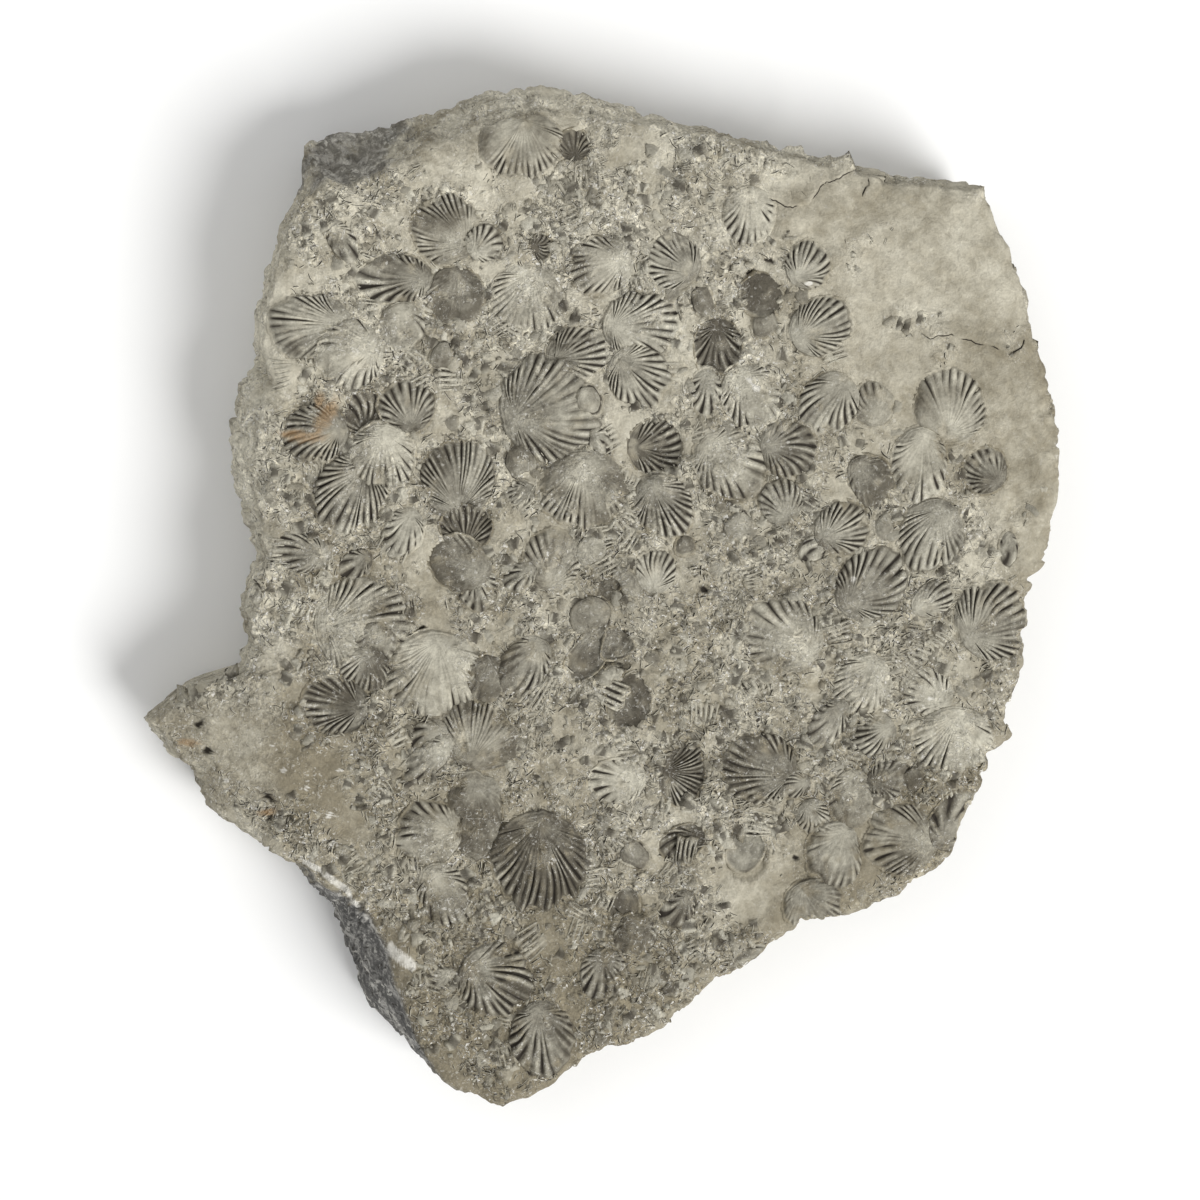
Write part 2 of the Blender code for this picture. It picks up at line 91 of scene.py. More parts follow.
# The broken sides by direction in degrees: how far the face's rim is set back from the brim (the
# widest line), the brim's height, and how soon the side drops (0 even, 1 at once)
sides = [
    (0, 1.6, 16, 0.6), (45, 1.6, 17, 0.6), (80, 1.8, 18, 0.6), (90, 4.0, 20, 0.3),
    (98, 5.0, 19, 0.2), (108, 6.5, 18, 0.3), (113, 6.0, 16, 0.6), (117, 9.0, 15, 0.9),
    (122, 10.5, 14, 0.9), (126, 2.0, 15, 0.6), (142, 2.0, 16, 0.5), (150, 6.5, 17, 0.2),
    (162, 5.0, 17, 0.2), (172, 1.6, 14, 0.6), (200, 1.6, 10, 0.5), (216, 1.8, 9, 0.4),
    (222, 2.5, 8, 0.2), (229, 6.6, 6, 0.1), (237, 11.0, 5, 0.1), (242, 8.0, 6, 0.1),
    (249, 2.2, 9, 0.4), (256, 1.6, 13, 0.6), (300, 1.6, 15, 0.6), (360, 1.6, 16, 0.6),
]


def sCurve(value):
    # 0 below 0, 1 above 1, and an even S between: 3t^2 - 2t^3
    t = np.clip(value, 0, 1)
    return t * t * (3 - 2 * t)


scramble = {
    "column": 374761393, "row": 668265263, "seed": 1013904223, "again": 1274126177,   # odd and large
    "low31": 0x7FFFFFFF,
    "low24": 0xFFFFFF,
}


def cellShare(i, j, seed):
    # scrambles two whole numbers and a seed into one share from 0 to 1, the same every run
    mixed = i.astype(np.int64) * scramble["column"] + j.astype(np.int64) * scramble["row"]
    mixed = mixed + seed * scramble["seed"]
    mixed = ((mixed ^ (mixed >> 13)) & scramble["low31"]) * scramble["again"]
    return ((mixed ^ (mixed >> 16)) & scramble["low24"]) / scramble["low24"]


def softNoise(x, y, seed):
    # random heights from -1 to 1 at whole-number corners, blended between them by the S curve
    i, j = np.floor(x), np.floor(y)
    u, v = sCurve(x - i), sCurve(y - j)
    near = cellShare(i, j, seed) * (1 - u) + cellShare(i + 1, j, seed) * u
    far = cellShare(i, j + 1, seed) * (1 - u) + cellShare(i + 1, j + 1, seed) * u
    return 2 * (near * (1 - v) + far * v) - 1


def roughNoise(x, y, seed, octaves):
    # soft noise summed over octaves, each twice as fine, half as high and turned by 37 degrees
    total = np.zeros(np.broadcast(x, y).shape)
    strength = 1.0
    for octave in range(octaves):
        total = total + strength * softNoise(x, y, seed + octave)
        x, y = 1.6 * x - 1.2 * y + 7.3, 1.2 * x + 1.6 * y - 4.1
        strength *= 0.5
    return total


def ringNoise(degrees, radius, centre, drift, seed, octaves):
    # rough noise read round a circle, so that it closes on itself; a drift moves the circle
    turn = np.radians(degrees)
    x = radius * np.cos(turn) + centre + drift[0]
    y = radius * np.sin(turn) + centre + drift[1]
    return roughNoise(x, y, seed, octaves)


def cellNoise(x, y, seed, period=1 << 30):
    # one random point per unit square; each place belongs to its nearest point. Gives the offset
    # from that point, three random shares of the cell, and how much further the next point is.
    # The squares repeat along x after a whole number of them
    i, j = np.floor(x), np.floor(y)
    first = np.full(x.shape, 9.0)
    second = np.full(x.shape, 9.0)
    found = np.zeros((5,) + x.shape)
    for a in (-1, 0, 1):
        for b in (-1, 0, 1):
            column = (i + a) % period
            dx = x - (i + a + cellShare(column, j + b, seed))
            dy = y - (j + b + cellShare(column, j + b, seed + 1))
            distance = np.hypot(dx, dy)
            closer = distance < first
            second = np.where(closer, first, np.minimum(second, distance))
            first = np.where(closer, distance, first)
            shares = [cellShare(column, j + b, seed + k) for k in (2, 3, 4)]
            found = np.where(closer, np.array([dx, dy] + shares), found)
    return found[0], found[1], found[2], found[3], found[4], second - first


def polar(x, y):
    # direction in degrees, 0 to 360, and distance from the slab's middle
    dx = x - slab["middle"][0]
    dy = y - slab["middle"][1]
    return np.degrees(np.arctan2(dy, dx)) % 360, np.hypot(dx, dy)


def ringPlane(degrees, reach):
    # points of the plane in given directions at given distances from the slab's middle
    turn = np.radians(degrees)
    return slab["middle"][0] + reach * np.cos(turn), slab["middle"][1] + reach * np.sin(turn)


def outlineTable():
    # the outline stretched to the slab's size, as directions in rising order and distances
    points = np.array(outline, float)
    low, high = points.min(0), points.max(0)
    points = (points - (low + high) / 2) * (slab["width"], slab["length"]) / (high - low)
    degrees, reach = polar(points[:, 0], points[:, 1])
    order = np.argsort(degrees)
    return degrees[order], reach[order]


outlineDegrees, outlineReach = outlineTable()


def brimReach(degrees, down=0.0):
    # distance to the widest line: the outline's corners joined straight, less a jagged chipping and
    # small bites. Both change with the distance down the side
    chips = ringNoise(degrees, 30, 50, (0.11 * down, -0.09 * down), seeds["chips"], 4)
    bites = ringNoise(degrees, 46, 70, (-0.31 * down, 0.27 * down), seeds["bites"], 2)
    bites = np.clip(bites - 0.25, 0, 0.8)
    corners = np.interp(degrees, outlineDegrees, outlineReach, period=360)
    return corners + slab["jag"] * (chips * 0.6 - 0.3) - slab["bite"] * bites


def sideAt(degrees):
    # set-back of the rim, height of the brim, and how soon the side drops, in a direction
    table = np.array(sides, float)
    return [np.interp(degrees, table[:, 0], table[:, column]) for column in (1, 2, 3)]


def rimReach(degrees):
    # distance from the slab's middle to the rim of the face
    return brimReach(degrees) - sideAt(degrees)[0]


def rimDistance(x, y):
    # how far a point of the face lies inside the rim
    degrees, distance = polar(x, y)
    return rimReach(degrees) - distance


bedShape = {
    "height": 25.6,
    "swell": 0.9,
    "ripple": 0.5,
    "lumps": 0.42,
    "tab": 8.5,         # how far the tip of the left tab lies lower
    "corner": 0.8,      # the plain corner at the upper right
    "flake": 1.1,       # the place of a flake lost from the top edge
    "rim": 1.5,         # and the rim, rounded over a width
    "rimWidth": 5,
}


def bedHeight(x, y):
    # the bed without its shells: broad swells and ripples, low lumps, a left tab that dips, a corner
    # that lies a little lower, a flake lost from the top edge, and a rounded rim
    swell = bedShape["swell"] * np.sin(x / 29 + 0.7) * np.cos(y / 33 - 0.3)
    swell = swell + bedShape["ripple"] * np.sin((x + 2 * y) / 19)
    tab = bedShape["tab"] * sCurve((-58 - x) / 30) * sCurve((4 - y) / 16)
    corner = sCurve((x - 40) / 20) * sCurve((y - 40) / 20)
    flakeEdge = y - 75 + 0.15 * (x - 30) + 2.2 * softNoise(x / 8, y / 8, seeds["flake"])
    flake = bedShape["flake"] * sCurve(flakeEdge / 6) * sCurve((x - 28) / 5)
    lumps = bedShape["lumps"] * np.sin(x / 2.3 + 2.1 * np.sin(y / 7.1))
    lumps = lumps * np.sin(y / 2.7 + 1.7 * np.sin(x / 6.3)) * (1 - 0.7 * corner)
    rim = bedShape["rim"] * (1 - np.clip(rimDistance(x, y) / bedShape["rimWidth"], 0, 1)) ** 2
    return bedShape["height"] + swell + lumps - tab - bedShape["corner"] * corner - flake - rim


# Marks on the face as ovals: x, y, half-length, half-width, and direction of the length in degrees
pits = [
    (26, 65.5, 1.9, 1.2, 20), (28, 64.3, 1.2, 0.6, 100), (31.5, 66.5, 1.1, 0.6, 0),
    (54.8, 54.6, 1.1, 0.6, 10), (57, 53, 0.6, 0.5, 60), (19, 3, 0.9, 0.6, 150),
    (-35.5, -4.5, 1.3, 0.7, 70), (-12.5, 23.5, 0.7, 0.4, 60), (37.5, -50, 0.6, 0.5, 0),
    (40.5, -50.5, 0.6, 0.4, 80), (36.5, 38.5, 0.7, 0.4, 120), (29.5, -42.5, 0.9, 0.6, 30),
    (75, -26, 0.9, 0.6, 10), (-30, -9, 0.8, 0.6, 0), (-78.5, -23, 0.9, 0.5, 40), (-77, -28, 0.7, 0.5, 0),
    (-64.5, -40.5, 1.2, 0.4, 10), (-61.5, -40.2, 0.7, 0.4, 0),
    (-65, -36.5, 0.9, 0.5, 150), (-61.5, -40.5, 0.7, 0.6, 0), (71, -6.5, 1.3, 0.9, 160),
]
stains = [
    (-53.6, 37, 3.6, 1.3, 60), (-58.5, 33.2, 4.2, 1.0, 175), (-55, 40, 1.6, 1.0, 80),
    (-81, -26.6, 1.7, 0.7, 0), (-65.5, -39.4, 1.6, 0.6, 10),
]
whites = [
    (-57, -50, 3.4, 0.7, 332), (-52.4, -53.2, 4.0, 0.9, 322), (-49, -57.2, 3.4, 0.6, 302),
    (-46.2, -61.2, 3.0, 0.45, 310), (-39.6, -68.4, 3.4, 1.5, 325), (-41.6, -66.2, 1.6, 0.9, 290),
    (48, 4.8, 0.9, 0.6, 80), (63.5, -18.7, 0.8, 0.5, 0), (29, 41.8, 0.9, 0.7, 130),
    (27.6, 43.4, 0.9, 0.5, 140), (39, 62, 1.0, 0.5, 0), (-62.3, -31.2, 0.9, 0.6, 30),
    (-57.9, -34.8, 0.9, 0.5, 60), (-53.5, -40, 1.0, 0.6, 40), (-53.2, -45.6, 1.2, 0.5, 60),
    (-73.3, -33.6, 0.7, 0.5, 0), (-51.5, -31.2, 0.7, 0.5, 0), (-64.4, -26.3, 0.8, 0.4, 20),
]
# The left tab, which is smooth and a little darker than what lies round it
tabOval = (-70, -30, 24, 14, 335)
# Smooth places: the plain corner, the right edge and the tab, then gaps between shells
plains = [
    (68, 58, 33.75, 33.75, 0), (84, 24, 27.5, 11.25, 90), (55, 76, 32.5, 11.25, 0),
    (-67, -28, 17.5, 8.125, 335), (-36, 10, 11.25, 4.375, 110), (4, 33, 5, 6.25, 0),
    (-33, -8, 3.75, 10, 0), (-20, 88, 17.5, 5, 10), (45, -50, 16.25, 7.5, 20), (-62, 52, 3.75, 15, 0),
    (-51, -41, 6.25, 3.75, 320), (-62, -16, 6.25, 2.5, 0), (31, -57, 13.75, 6.875, 325),
]


def spots(x, y, ovals, wander=0.0):
    # 1 in the middle of each oval and 0 outside it, whichever is more; their borders may wander
    total = np.zeros(x.shape)
    uneven = 1 + wander * roughNoise(x / 1.1, y / 1.1, seeds["ovals"], 3)
    for px, py, along, across, direction in ovals:
        turn = math.radians(direction)
        u = ((x - px) * math.cos(turn) + (y - py) * math.sin(turn)) / along
        v = ((y - py) * math.cos(turn) - (x - px) * math.sin(turn)) / across
        total = np.maximum(total, sCurve(1.5 - np.hypot(u, v) * uneven))
    return total


def plainShare(x, y):
    # 1 where the rock between the shells is smooth, 0 where it is crowded with broken shell
    total = spots(x, y, plains)
    wander = roughNoise(x / 8, y / 8, seeds["plain"], 3)
    gaps = 0.75 * sCurve(1.9 * wander - 0.45) * (1 - total)
    return np.clip(total + gaps - 0.25 * total * (wander > 0.5), 0, 1)


rubble = {
    "plates": [(3.6, 0.55, 201), (1.9, 0.32, 211)],   # size, height and seed of each layer of plates
    "tilt": 1.5,
    "chink": 0.35,        # depth of the gaps between plates
    "warp": 0.9,          # how far the plates' borders wander
    "swells": 0.20,
}


def crumble(x, y):
    # relief of the rock between the shells: broken shell in plates of two sizes, each cell a little
    # plate with its own height and tilt, over soft rough noise
    warpedX = x + rubble["warp"] * roughNoise(x / 3, y / 3, seeds["warpX"], 2)
    warpedY = y + rubble["warp"] * roughNoise(x / 3, y / 3, seeds["warpY"], 2)
    plates = 0
    for cell, amount, seed in rubble["plates"]:
        dx, dy, lift, tiltX, tiltY, gap = cellNoise(warpedX / cell, warpedY / cell, seed)
        plate = (lift - 0.5) + rubble["tilt"] * (tiltX - 0.5) * dx + rubble["tilt"] * (tiltY - 0.5) * dy
        plates = plates + amount * (plate - rubble["chink"] * (1 - sCurve(gap / 0.16)))
    smooth = rubble["swells"] * roughNoise(x / 5.5, y / 5.5, seeds["swells"], 3)
    rough = 1 - 0.88 * plainShare(x, y)
    return smooth * (0.4 + 0.6 * rough) + plates * rough


def gridFaces(rows, columns, closed):
    # quads between neighbouring rows and columns of a grid numbered row by row; a closed grid also
    # joins its last column to its first
    row = np.arange(rows - 1)[:, None] * columns
    column = np.arange(columns if closed else columns - 1)
    after = (column + 1) % columns
    corners = [row + column, row + columns + column, row + columns + after, row + after]
    return np.stack([corner.ravel() for corner in corners], 1).tolist()


# What each kind of shell is like. The first three are shares of its mean size: lift of the margin
# over the bed, height of the dome and depth of the furrows. Then: where along a rib the furrow
# starts (0 beak, 1 margin), how clearly the margin stands out, how strongly the shell's own colour
# shows on the rock, how many of the furrows are kept (half at 0.5, nearly all at 1.5), how dark they
# are, how much paler the middle is, and how much of the shell is left (three quarters at 0, nearly
# all at 0.9)
kindColumns = ("lift", "dome", "furrow", "start", "edge", "colour", "whole", "dark", "pale", "kept")
kindRows = {
    "ribbed": (0.012, 0.085, 0.042, 0.40, 0.55, 0.90, 1.35, 1.00, 0.25, 0.9),
    "worn": (0.006, 0.070, 0.038, 0.58, 0.35, 0.72, 1.00, 0.95, 0.50, 0.7),
    "smooth": (0.022, 0.100, 0.0, 1.00, 0.85, 0.80, 0, 0, 0.35, 0.9),
    "faint": (0.012, 0.075, 0.022, 0.60, 0.60, 0.85, 0.50, 0.62, 0.35, 0.8),
    "mould": (-0.020, -0.085, 0.042, 0.25, 0.60, 0.95, 1.60, 1.00, -0.15, 1.3),
    "hollow": (-0.030, -0.050, 0.0, 1.00, 0.80, 0.95, 0, 0, 0.10, 1.1),
}
shellKinds = {name: dict(zip(kindColumns, row)) for name, row in kindRows.items()}

shells = {
    "fanSpread": math.radians(104),   # the widest fan: ribs cover this much on each side of the heading
    "fanNarrow": 0.70,                # the narrowest fan, as a share of the widest
    "overhang": 0.14,                 # the margin passes behind the beak by this share of the length
    "doming": 0.62,                   # power of the dome's curve: less is flatter on top
    # columns of the grid within each rib, counted from the crest before it: the furrow is at 0.5
    "ribPlaces": [0.0, 0.25, 0.39, 0.5, 0.61, 0.75],
    "samplesBehind": 14,
    "samplesSmooth": 48,
    "rings": [0.07, 0.17, 0.28, 0.39, 0.49, 0.58, 0.66, 0.74, 0.81, 0.87, 0.92, 0.96, 1.0],
    # rows past the margin: how far out, and how far down. The first two lie on the rock around the
    # shell and the last two dive into it
    "skirt": [(0.28, 0.0), (0.62, 0.0), (0.80, -0.5), (0.85, -1.5)],
    "bend": 0.55,                     # how far ribs sway, in ribs
    "wander": 0.08,                   # unevenness of every margin, as a share of its reach
    "uneven": 0.24,                   # and of a faint or smooth one
    "faintFurrow": 0.03,              # shells with shallower furrows are uneven
    "breaks": (4, 7),                 # straight breaks round a shell without ribs: 4 to 6
    "breakReach": (0.58, 0.95),       # how far out they lie
    "cornerPower": 14.0,              # how sharp the corners between them are
    "largest": 1.12,                  # and how far those may stand out
    "growth": 0.005,                  # height of growth lines, as a share of the size
    "crest": 0.35,                    # height of the ribs, as a share of the furrows' depth
    "crevice": 0.55,                  # depth of the gap round the margin
    "rimGap": 0.35,                   # a shell broken off by the slab's rim stops this far inside it
    "rimDrop": 1.2,                   # and sinks this far
    "bed": 0.55,                      # how far the rock stays below a shell that lies on it
    "cover": 0.35,                    # how far a covered shell stays below the one on top
    "tilt": 0.6,                      # how much a shell follows what it lies on
}

# Every shell, from the lowest to the one on top: kind, beak x and y, heading in degrees, length from
# the beak to the front margin, width, main ribs, and tone from -1 (dark brown) to 1 (pale)
shellColumns = ("kind", "x", "y", "heading", "length", "width", "ribs", "tone")
shellRows = [
    ("worn", 40, -8.5, 155, 14, 14.5, 21, 0.2), ("faint", -25.5, -34, 270, 16, 11, 17, -0.6),
    ("faint", 38.5, -56, 300, 10.5, 12.5, 20, -0.3), ("ribbed", 34, -69, 200, 9.5, 6.5, 9, -0.2),
    ("worn", -54, -3, 0, 15.5, 18.5, 27, 0.2), ("smooth", -68.5, 5, 270, 5, 4.5, 0, -0.1),
    ("worn", 3.5, 67, 200, 10.5, 11, 18, 0.2), ("worn", 27.5, 79.5, 270, 9.5, 10.5, 15, 0.5),
    ("worn", 52.5, 35.5, 100, 7.5, 8, 13, 0.1), ("smooth", 32, 55.5, 220, 6, 6, 0, -0.5),
    ("worn", -16, 93, 270, 11, 16.5, 27, 0.1), ("mould", -6, 86, 90, 5, 6, 11, -1),
    ("worn", -26.5, 69.5, 145, 11.5, 13, 24, -0.6), ("ribbed", -25.5, 68, 40, 6, 7.5, 14, 0),
    ("faint", -28.5, 64, 270, 9, 10.5, 17, -0.6), ("ribbed", -35, 63, 180, 13, 9.5, 18, -0.2),
    ("ribbed", -52, 73, 300, 7.5, 5, 9, 0), ("mould", -14, 69, 0, 3.5, 5, 11, -1),
    ("worn", -14.5, 64, 260, 11.5, 14, 25, 0.5), ("ribbed", -50.5, 54.5, 185, 14, 12.5, 24, 0),
    ("worn", -44.5, 50.5, 200, 11.5, 13, 20, 0.7), ("worn", -39.5, 57.5, 280, 8, 9, 14, 0.3),
    ("smooth", -31.5, 50.5, 270, 6, 5, 0, -0.3), ("ribbed", -51, 34.5, 190, 11, 11, 20, -0.2),
    ("mould", -46, 33.5, 90, 8, 8, 13, -0.9), ("ribbed", -37.5, 35, 100, 9, 10.5, 18, 0),
    ("ribbed", -46, 27.5, 240, 14, 14, 25, -0.1), ("worn", -43, 34, 270, 10.5, 12.5, 24, 0.6),
    ("ribbed", -37.5, 18, 245, 9, 7.5, 14, 0.1), ("ribbed", -28.5, 19, 90, 13, 14, 27, -0.2),
    ("mould", -27, 12, 90, 8, 9.5, 16, -1), ("ribbed", -25.5, 7, 280, 7.5, 8, 15, 0),
    ("faint", -23.5, 7, 165, 10.5, 9, 15, -0.6), ("ribbed", -54.5, 10.5, 175, 9, 7.5, 14, 0),
    ("ribbed", -46, 10, 215, 6, 5, 9, -0.4), ("faint", -44, -3.5, 270, 7.5, 8, 13, -0.5),
    ("ribbed", -46, -8.5, 260, 8, 9.5, 15, -0.3), ("worn", -32.5, -6.5, 265, 14.5, 18.5, 27, 0.7),
    ("mould", -47.5, -19.5, 170, 11, 11, 17, -0.3), ("faint", -23, -10.5, 270, 7.5, 8, 13, -0.5),
    ("ribbed", 16.5, 64, 150, 9.5, 10.5, 18, 0.1), ("ribbed", -10, 47.5, 15, 10.5, 10.5, 18, -0.2),
    ("ribbed", 1, 54, 0, 13, 13, 24, 0.2), ("ribbed", 2.5, 47.5, 320, 11, 11.5, 21, 0.1),
    ("smooth", 18, 60.5, 290, 6, 5, 0, -0.6), ("hollow", 29.5, 63, 270, 7.5, 8, 0, -0.9),
    ("mould", 21.5, 54, 270, 9, 9, 16, -0.8), ("ribbed", 36.5, 63, 45, 8, 9, 15, 0.2),
    ("ribbed", 37, 52, 20, 11, 11, 20, 0.2), ("ribbed", 46, 43, 235, 11, 11, 15, -0.1),
    ("worn", 25.5, 44.5, 300, 11, 11.5, 20, 0.6), ("ribbed", 19.5, 44.5, 265, 7.5, 6, 9, 0),
    ("worn", 66.5, 32.5, 85, 12.5, 14, 24, 0.2), ("ribbed", 76.5, 23.5, 140, 7.5, 9, 14, -0.2),
    ("worn", 61.5, 32.5, 265, 13, 11, 18, 0.5), ("ribbed", 31, 31, 350, 10, 11, 15, -0.5),
    ("faint", 49, 27, 320, 9, 9, 15, -0.6), ("ribbed", -18, 36.5, 15, 16.5, 20.5, 27, -0.2),
    ("smooth", -4.5, 41.5, 300, 6, 5, 0, -0.2), ("smooth", -17, 30.5, 280, 6.5, 6.5, 0, -0.4),
    ("ribbed", -14.5, 22.5, 200, 5, 4.5, 9, 0), ("ribbed", -2.5, 33.5, 310, 5, 4.5, 5, 0.2),
    ("mould", 5.5, 30.5, 0, 9, 10.5, 16, -0.7), ("worn", 19.5, 31, 320, 13, 13, 20, 0.4),
    ("ribbed", 8.5, 23.5, 300, 11, 11, 20, -0.1), ("worn", -4.5, 28.5, 270, 13, 16.5, 27, -0.3),
    ("worn", -10.5, 4.5, 90, 10.5, 11, 20, -0.1), ("smooth", -2.5, 13, 270, 6, 6.5, 0, 0),
    ("smooth", 2, 7, 315, 6.5, 4.5, 0, 0), ("ribbed", 9, 3.5, 80, 7.5, 8, 14, 0.1),
    ("smooth", 15, 13, 270, 4.5, 4.5, 0, -0.2), ("hollow", 0.5, 5, 270, 4, 4.5, 0, -0.7),
    ("smooth", -3, 1, 270, 6.5, 7.5, 0, -0.5), ("hollow", 0, -5.5, 235, 10.5, 7.5, 0, -0.4),
    ("hollow", 1, -5.5, 290, 7.5, 6, 0, -0.4), ("hollow", -12, -5, 250, 4.5, 4.5, 0, -0.4),
    ("hollow", 4, -14.5, 270, 9, 9, 0, -0.8), ("ribbed", -13, -7.5, 235, 11, 9, 14, -0.3),
    ("smooth", 26, 17.5, 270, 5, 6, 0, -0.1), ("ribbed", 35, 17, 110, 7.5, 9, 13, 0),
    ("ribbed", -14.5, 7.5, 215, 6, 5, 9, 0), ("ribbed", 44, 12.5, 205, 7.5, 5, 5, 0.1),
    ("ribbed", 42, 13, 25, 10, 10.5, 18, -0.4), ("smooth", 54.5, 17, 270, 4.5, 3.5, 0, 0.1),
    ("ribbed", 65, 18.5, 255, 12.5, 13, 18, 0.1), ("ribbed", 79, 13, 270, 6, 3.5, 4, 0),
    ("ribbed", 61, -1, 30, 8, 6.5, 14, 0.1), ("ribbed", 47, 0, 38, 14, 13, 21, -0.1),
    ("ribbed", 71, -6.5, 30, 13, 15.5, 24, -0.1), ("worn", 66.5, -19.5, 150, 9.5, 9, 14, 0.6),
    ("worn", 52.5, -11.5, 240, 11, 11, 20, 0.6), ("worn", 69, -22, 265, 11.5, 16, 24, 0.8),
    ("ribbed", 46, -20, 235, 10, 6.5, 13, 0), ("ribbed", 55.5, -24, 215, 7.5, 7.5, 14, 0),
    ("ribbed", 35.5, -33.5, 165, 13, 14, 21, -0.5), ("ribbed", 39.5, -35, 195, 5, 5, 13, -0.3),
    ("ribbed", 39.5, -39.5, 300, 6.5, 6.5, 13, 0), ("worn", 49, -34, 260, 10.5, 9.5, 15, 0.1),
    ("ribbed", 52.5, -35, 5, 7.5, 8, 14, -0.1), ("smooth", 60.5, -33, 270, 6, 4.5, 0, -0.5),
    ("worn", 64, -47, 180, 13, 14, 21, -0.2), ("ribbed", 66, -47, 50, 11.5, 9.5, 7, -0.3),
    ("faint", 47, -45, 235, 11, 12.5, 20, 0.1), ("worn", 6.5, -34, 180, 9.5, 9, 15, 0.4),
    ("mould", 11.5, -32.5, 350, 8, 12.5, 18, -0.8), ("hollow", 27.5, -45, 270, 9, 8, 0, -0.2),
    ("ribbed", -13, -42, 268, 17, 18.5, 27, -0.8), ("worn", -29.5, -43.5, 180, 11.5, 12.5, 18, 0.1),
    ("worn", -26.5, -29.5, 70, 11, 16, 27, -0.3), ("ribbed", -32, -23, 215, 6.5, 6, 9, -0.3),
    ("ribbed", -31, -26, 222, 11, 6, 9, 0.2), ("worn", -34, -51.5, 300, 11.5, 9.5, 15, -0.1),
    ("ribbed", -26.5, -70, 330, 13, 14.5, 18, -0.4), ("ribbed", -13, -79, 273, 13, 12.5, 18, -0.4),
    ("ribbed", -0.5, -68.5, 270, 9, 9.5, 15, -0.2), ("mould", 4, -61.5, 90, 6, 6.5, 0, -0.7),
    ("faint", 6, -61.5, 270, 7.5, 7.5, 12, -0.5), ("ribbed", 16, -57, 235, 7.5, 6, 9, -0.4),
    ("smooth", 5, -46.5, 270, 5, 6, 0, -0.4), ("mould", 18, -45, 205, 8, 6.5, 8, -0.7),
    ("ribbed", -31, -71, 225, 4.5, 3.5, 5, -0.1),
]
shellList = [dict(zip(shellColumns, row)) for row in shellRows]


def halfTurn(angle):
    # an angle brought to between minus and plus half a turn
    return (angle + math.pi) % (2 * math.pi) - math.pi


def ovalOf(shell):
    # half-length and half-width of a shell's oval, and how far its centre lies before the beak
    overhang = shells["overhang"] * shell["length"]
    return (shell["length"] + overhang) / 2, shell["width"] / 2, (shell["length"] - overhang) / 2


def marginReach(shell, phi):
    # distance from the beak to the oval margin at an angle from the heading: the positive root of
    # the ellipse's quadratic, the beak lying inside the ellipse on its long axis
    along, across, centre = ovalOf(shell)
    u = np.cos(phi) / along
    v = np.sin(phi) / across
    square = u * u + v * v
    return (u * centre / along + np.sqrt(square - (v * centre / along) ** 2)) / square


def shellPolar(shell, x, y):
    # angle from the heading, and share of the way from the beak to the margin
    dx = x - shell["x"]
    dy = y - shell["y"]
    phi = halfTurn(np.arctan2(dy, dx) - math.radians(shell["heading"]))
    return phi, np.hypot(dx, dy) / marginReach(shell, phi)


def shellPlane(shell, phi, reach):
    # points of the plane at an angle from the heading and a distance from the beak
    turn = phi + math.radians(shell["heading"])
    return shell["x"] + reach * np.cos(turn), shell["y"] + reach * np.sin(turn)


def domeOf(shell, phi, share):
    # 1 over the middle of the oval and 0 at its margin: (1 - e) to a power, where e is the elliptic
    # radius squared
    along, across, centre = ovalOf(shell)
    reach = share * marginReach(shell, phi)
    u = (reach * np.cos(phi) - centre) / along
    v = reach * np.sin(phi) / across
    return np.clip(1 - u ** 2 - v ** 2, 0, 1) ** shells["doming"]


def meanSize(shell):
    return (shell["length"] + shell["width"]) / 2


def plainTop(shell, seat, x, y, phi, share):
    # height over the bed of a shell without its ribs: its seat, a tilted plane, plus lift and dome
    kind = shellKinds[shell["kind"]]
    dome = domeOf(shell, phi, np.minimum(share, 1))
    return seat[0] + seat[1] * x + seat[2] * y + meanSize(shell) * (kind["lift"] + kind["dome"] * dome)


def shellSpan(shell):
    # centre and half-size of a circle that holds the whole shell
    x, y = shellPlane(shell, 0, 0.43 * shell["length"])
    return x, y, max(shell["length"] * 0.6, shell["width"] * 0.55)


def overlapping(number, numbers):
    # the shells of a range whose circles reach this one's
    x, y, size = shellSpan(shellList[number])
    found = []
    for other in numbers:
        otherX, otherY, otherSize = shellSpan(shellList[other])
        if math.hypot(otherX - x, otherY - y) < size + otherSize + 1:
            found.append(other)
    return found


def layShells():
    # gives each shell its seat: the plane through what it lies on, found by least squares over a
    # polar grid of its area, followed in part
    seats = []
    phi, share = np.meshgrid(np.linspace(-math.pi, math.pi, 24, endpoint=False), np.linspace(0.15, 1, 6))
    for number, shell in enumerate(shellList):
        x, y = shellPlane(shell, phi, share * marginReach(shell, phi))
        below = np.zeros_like(x)
        for other in overlapping(number, range(number)):
            otherPhi, otherShare = shellPolar(shellList[other], x, y)
            top = plainTop(shellList[other], seats[other], x, y, otherPhi, otherShare)
            below = np.where(otherShare < 1, top, below)
        columns = np.stack([np.ones(x.size), x.ravel(), y.ravel()], 1)
        plane = np.linalg.lstsq(columns, below.ravel(), rcond=None)[0]
        seats.append(plane * shells["tilt"])
    return seats


seatList = layShells()
print("shells laid:", len(seatList))


def shellTops(x, y, numbers):
    # the uppermost shell of a range at each place: whether there is one, and its height over the bed
    covered = np.zeros(x.shape, bool)
    height = np.zeros(x.shape)
    for number in numbers:
        phi, share = shellPolar(shellList[number], x, y)
        inside = share < 1
        top = plainTop(shellList[number], seatList[number], x, y, phi, share)
        height = np.where(inside, top, height)
        covered |= inside
    return covered, height


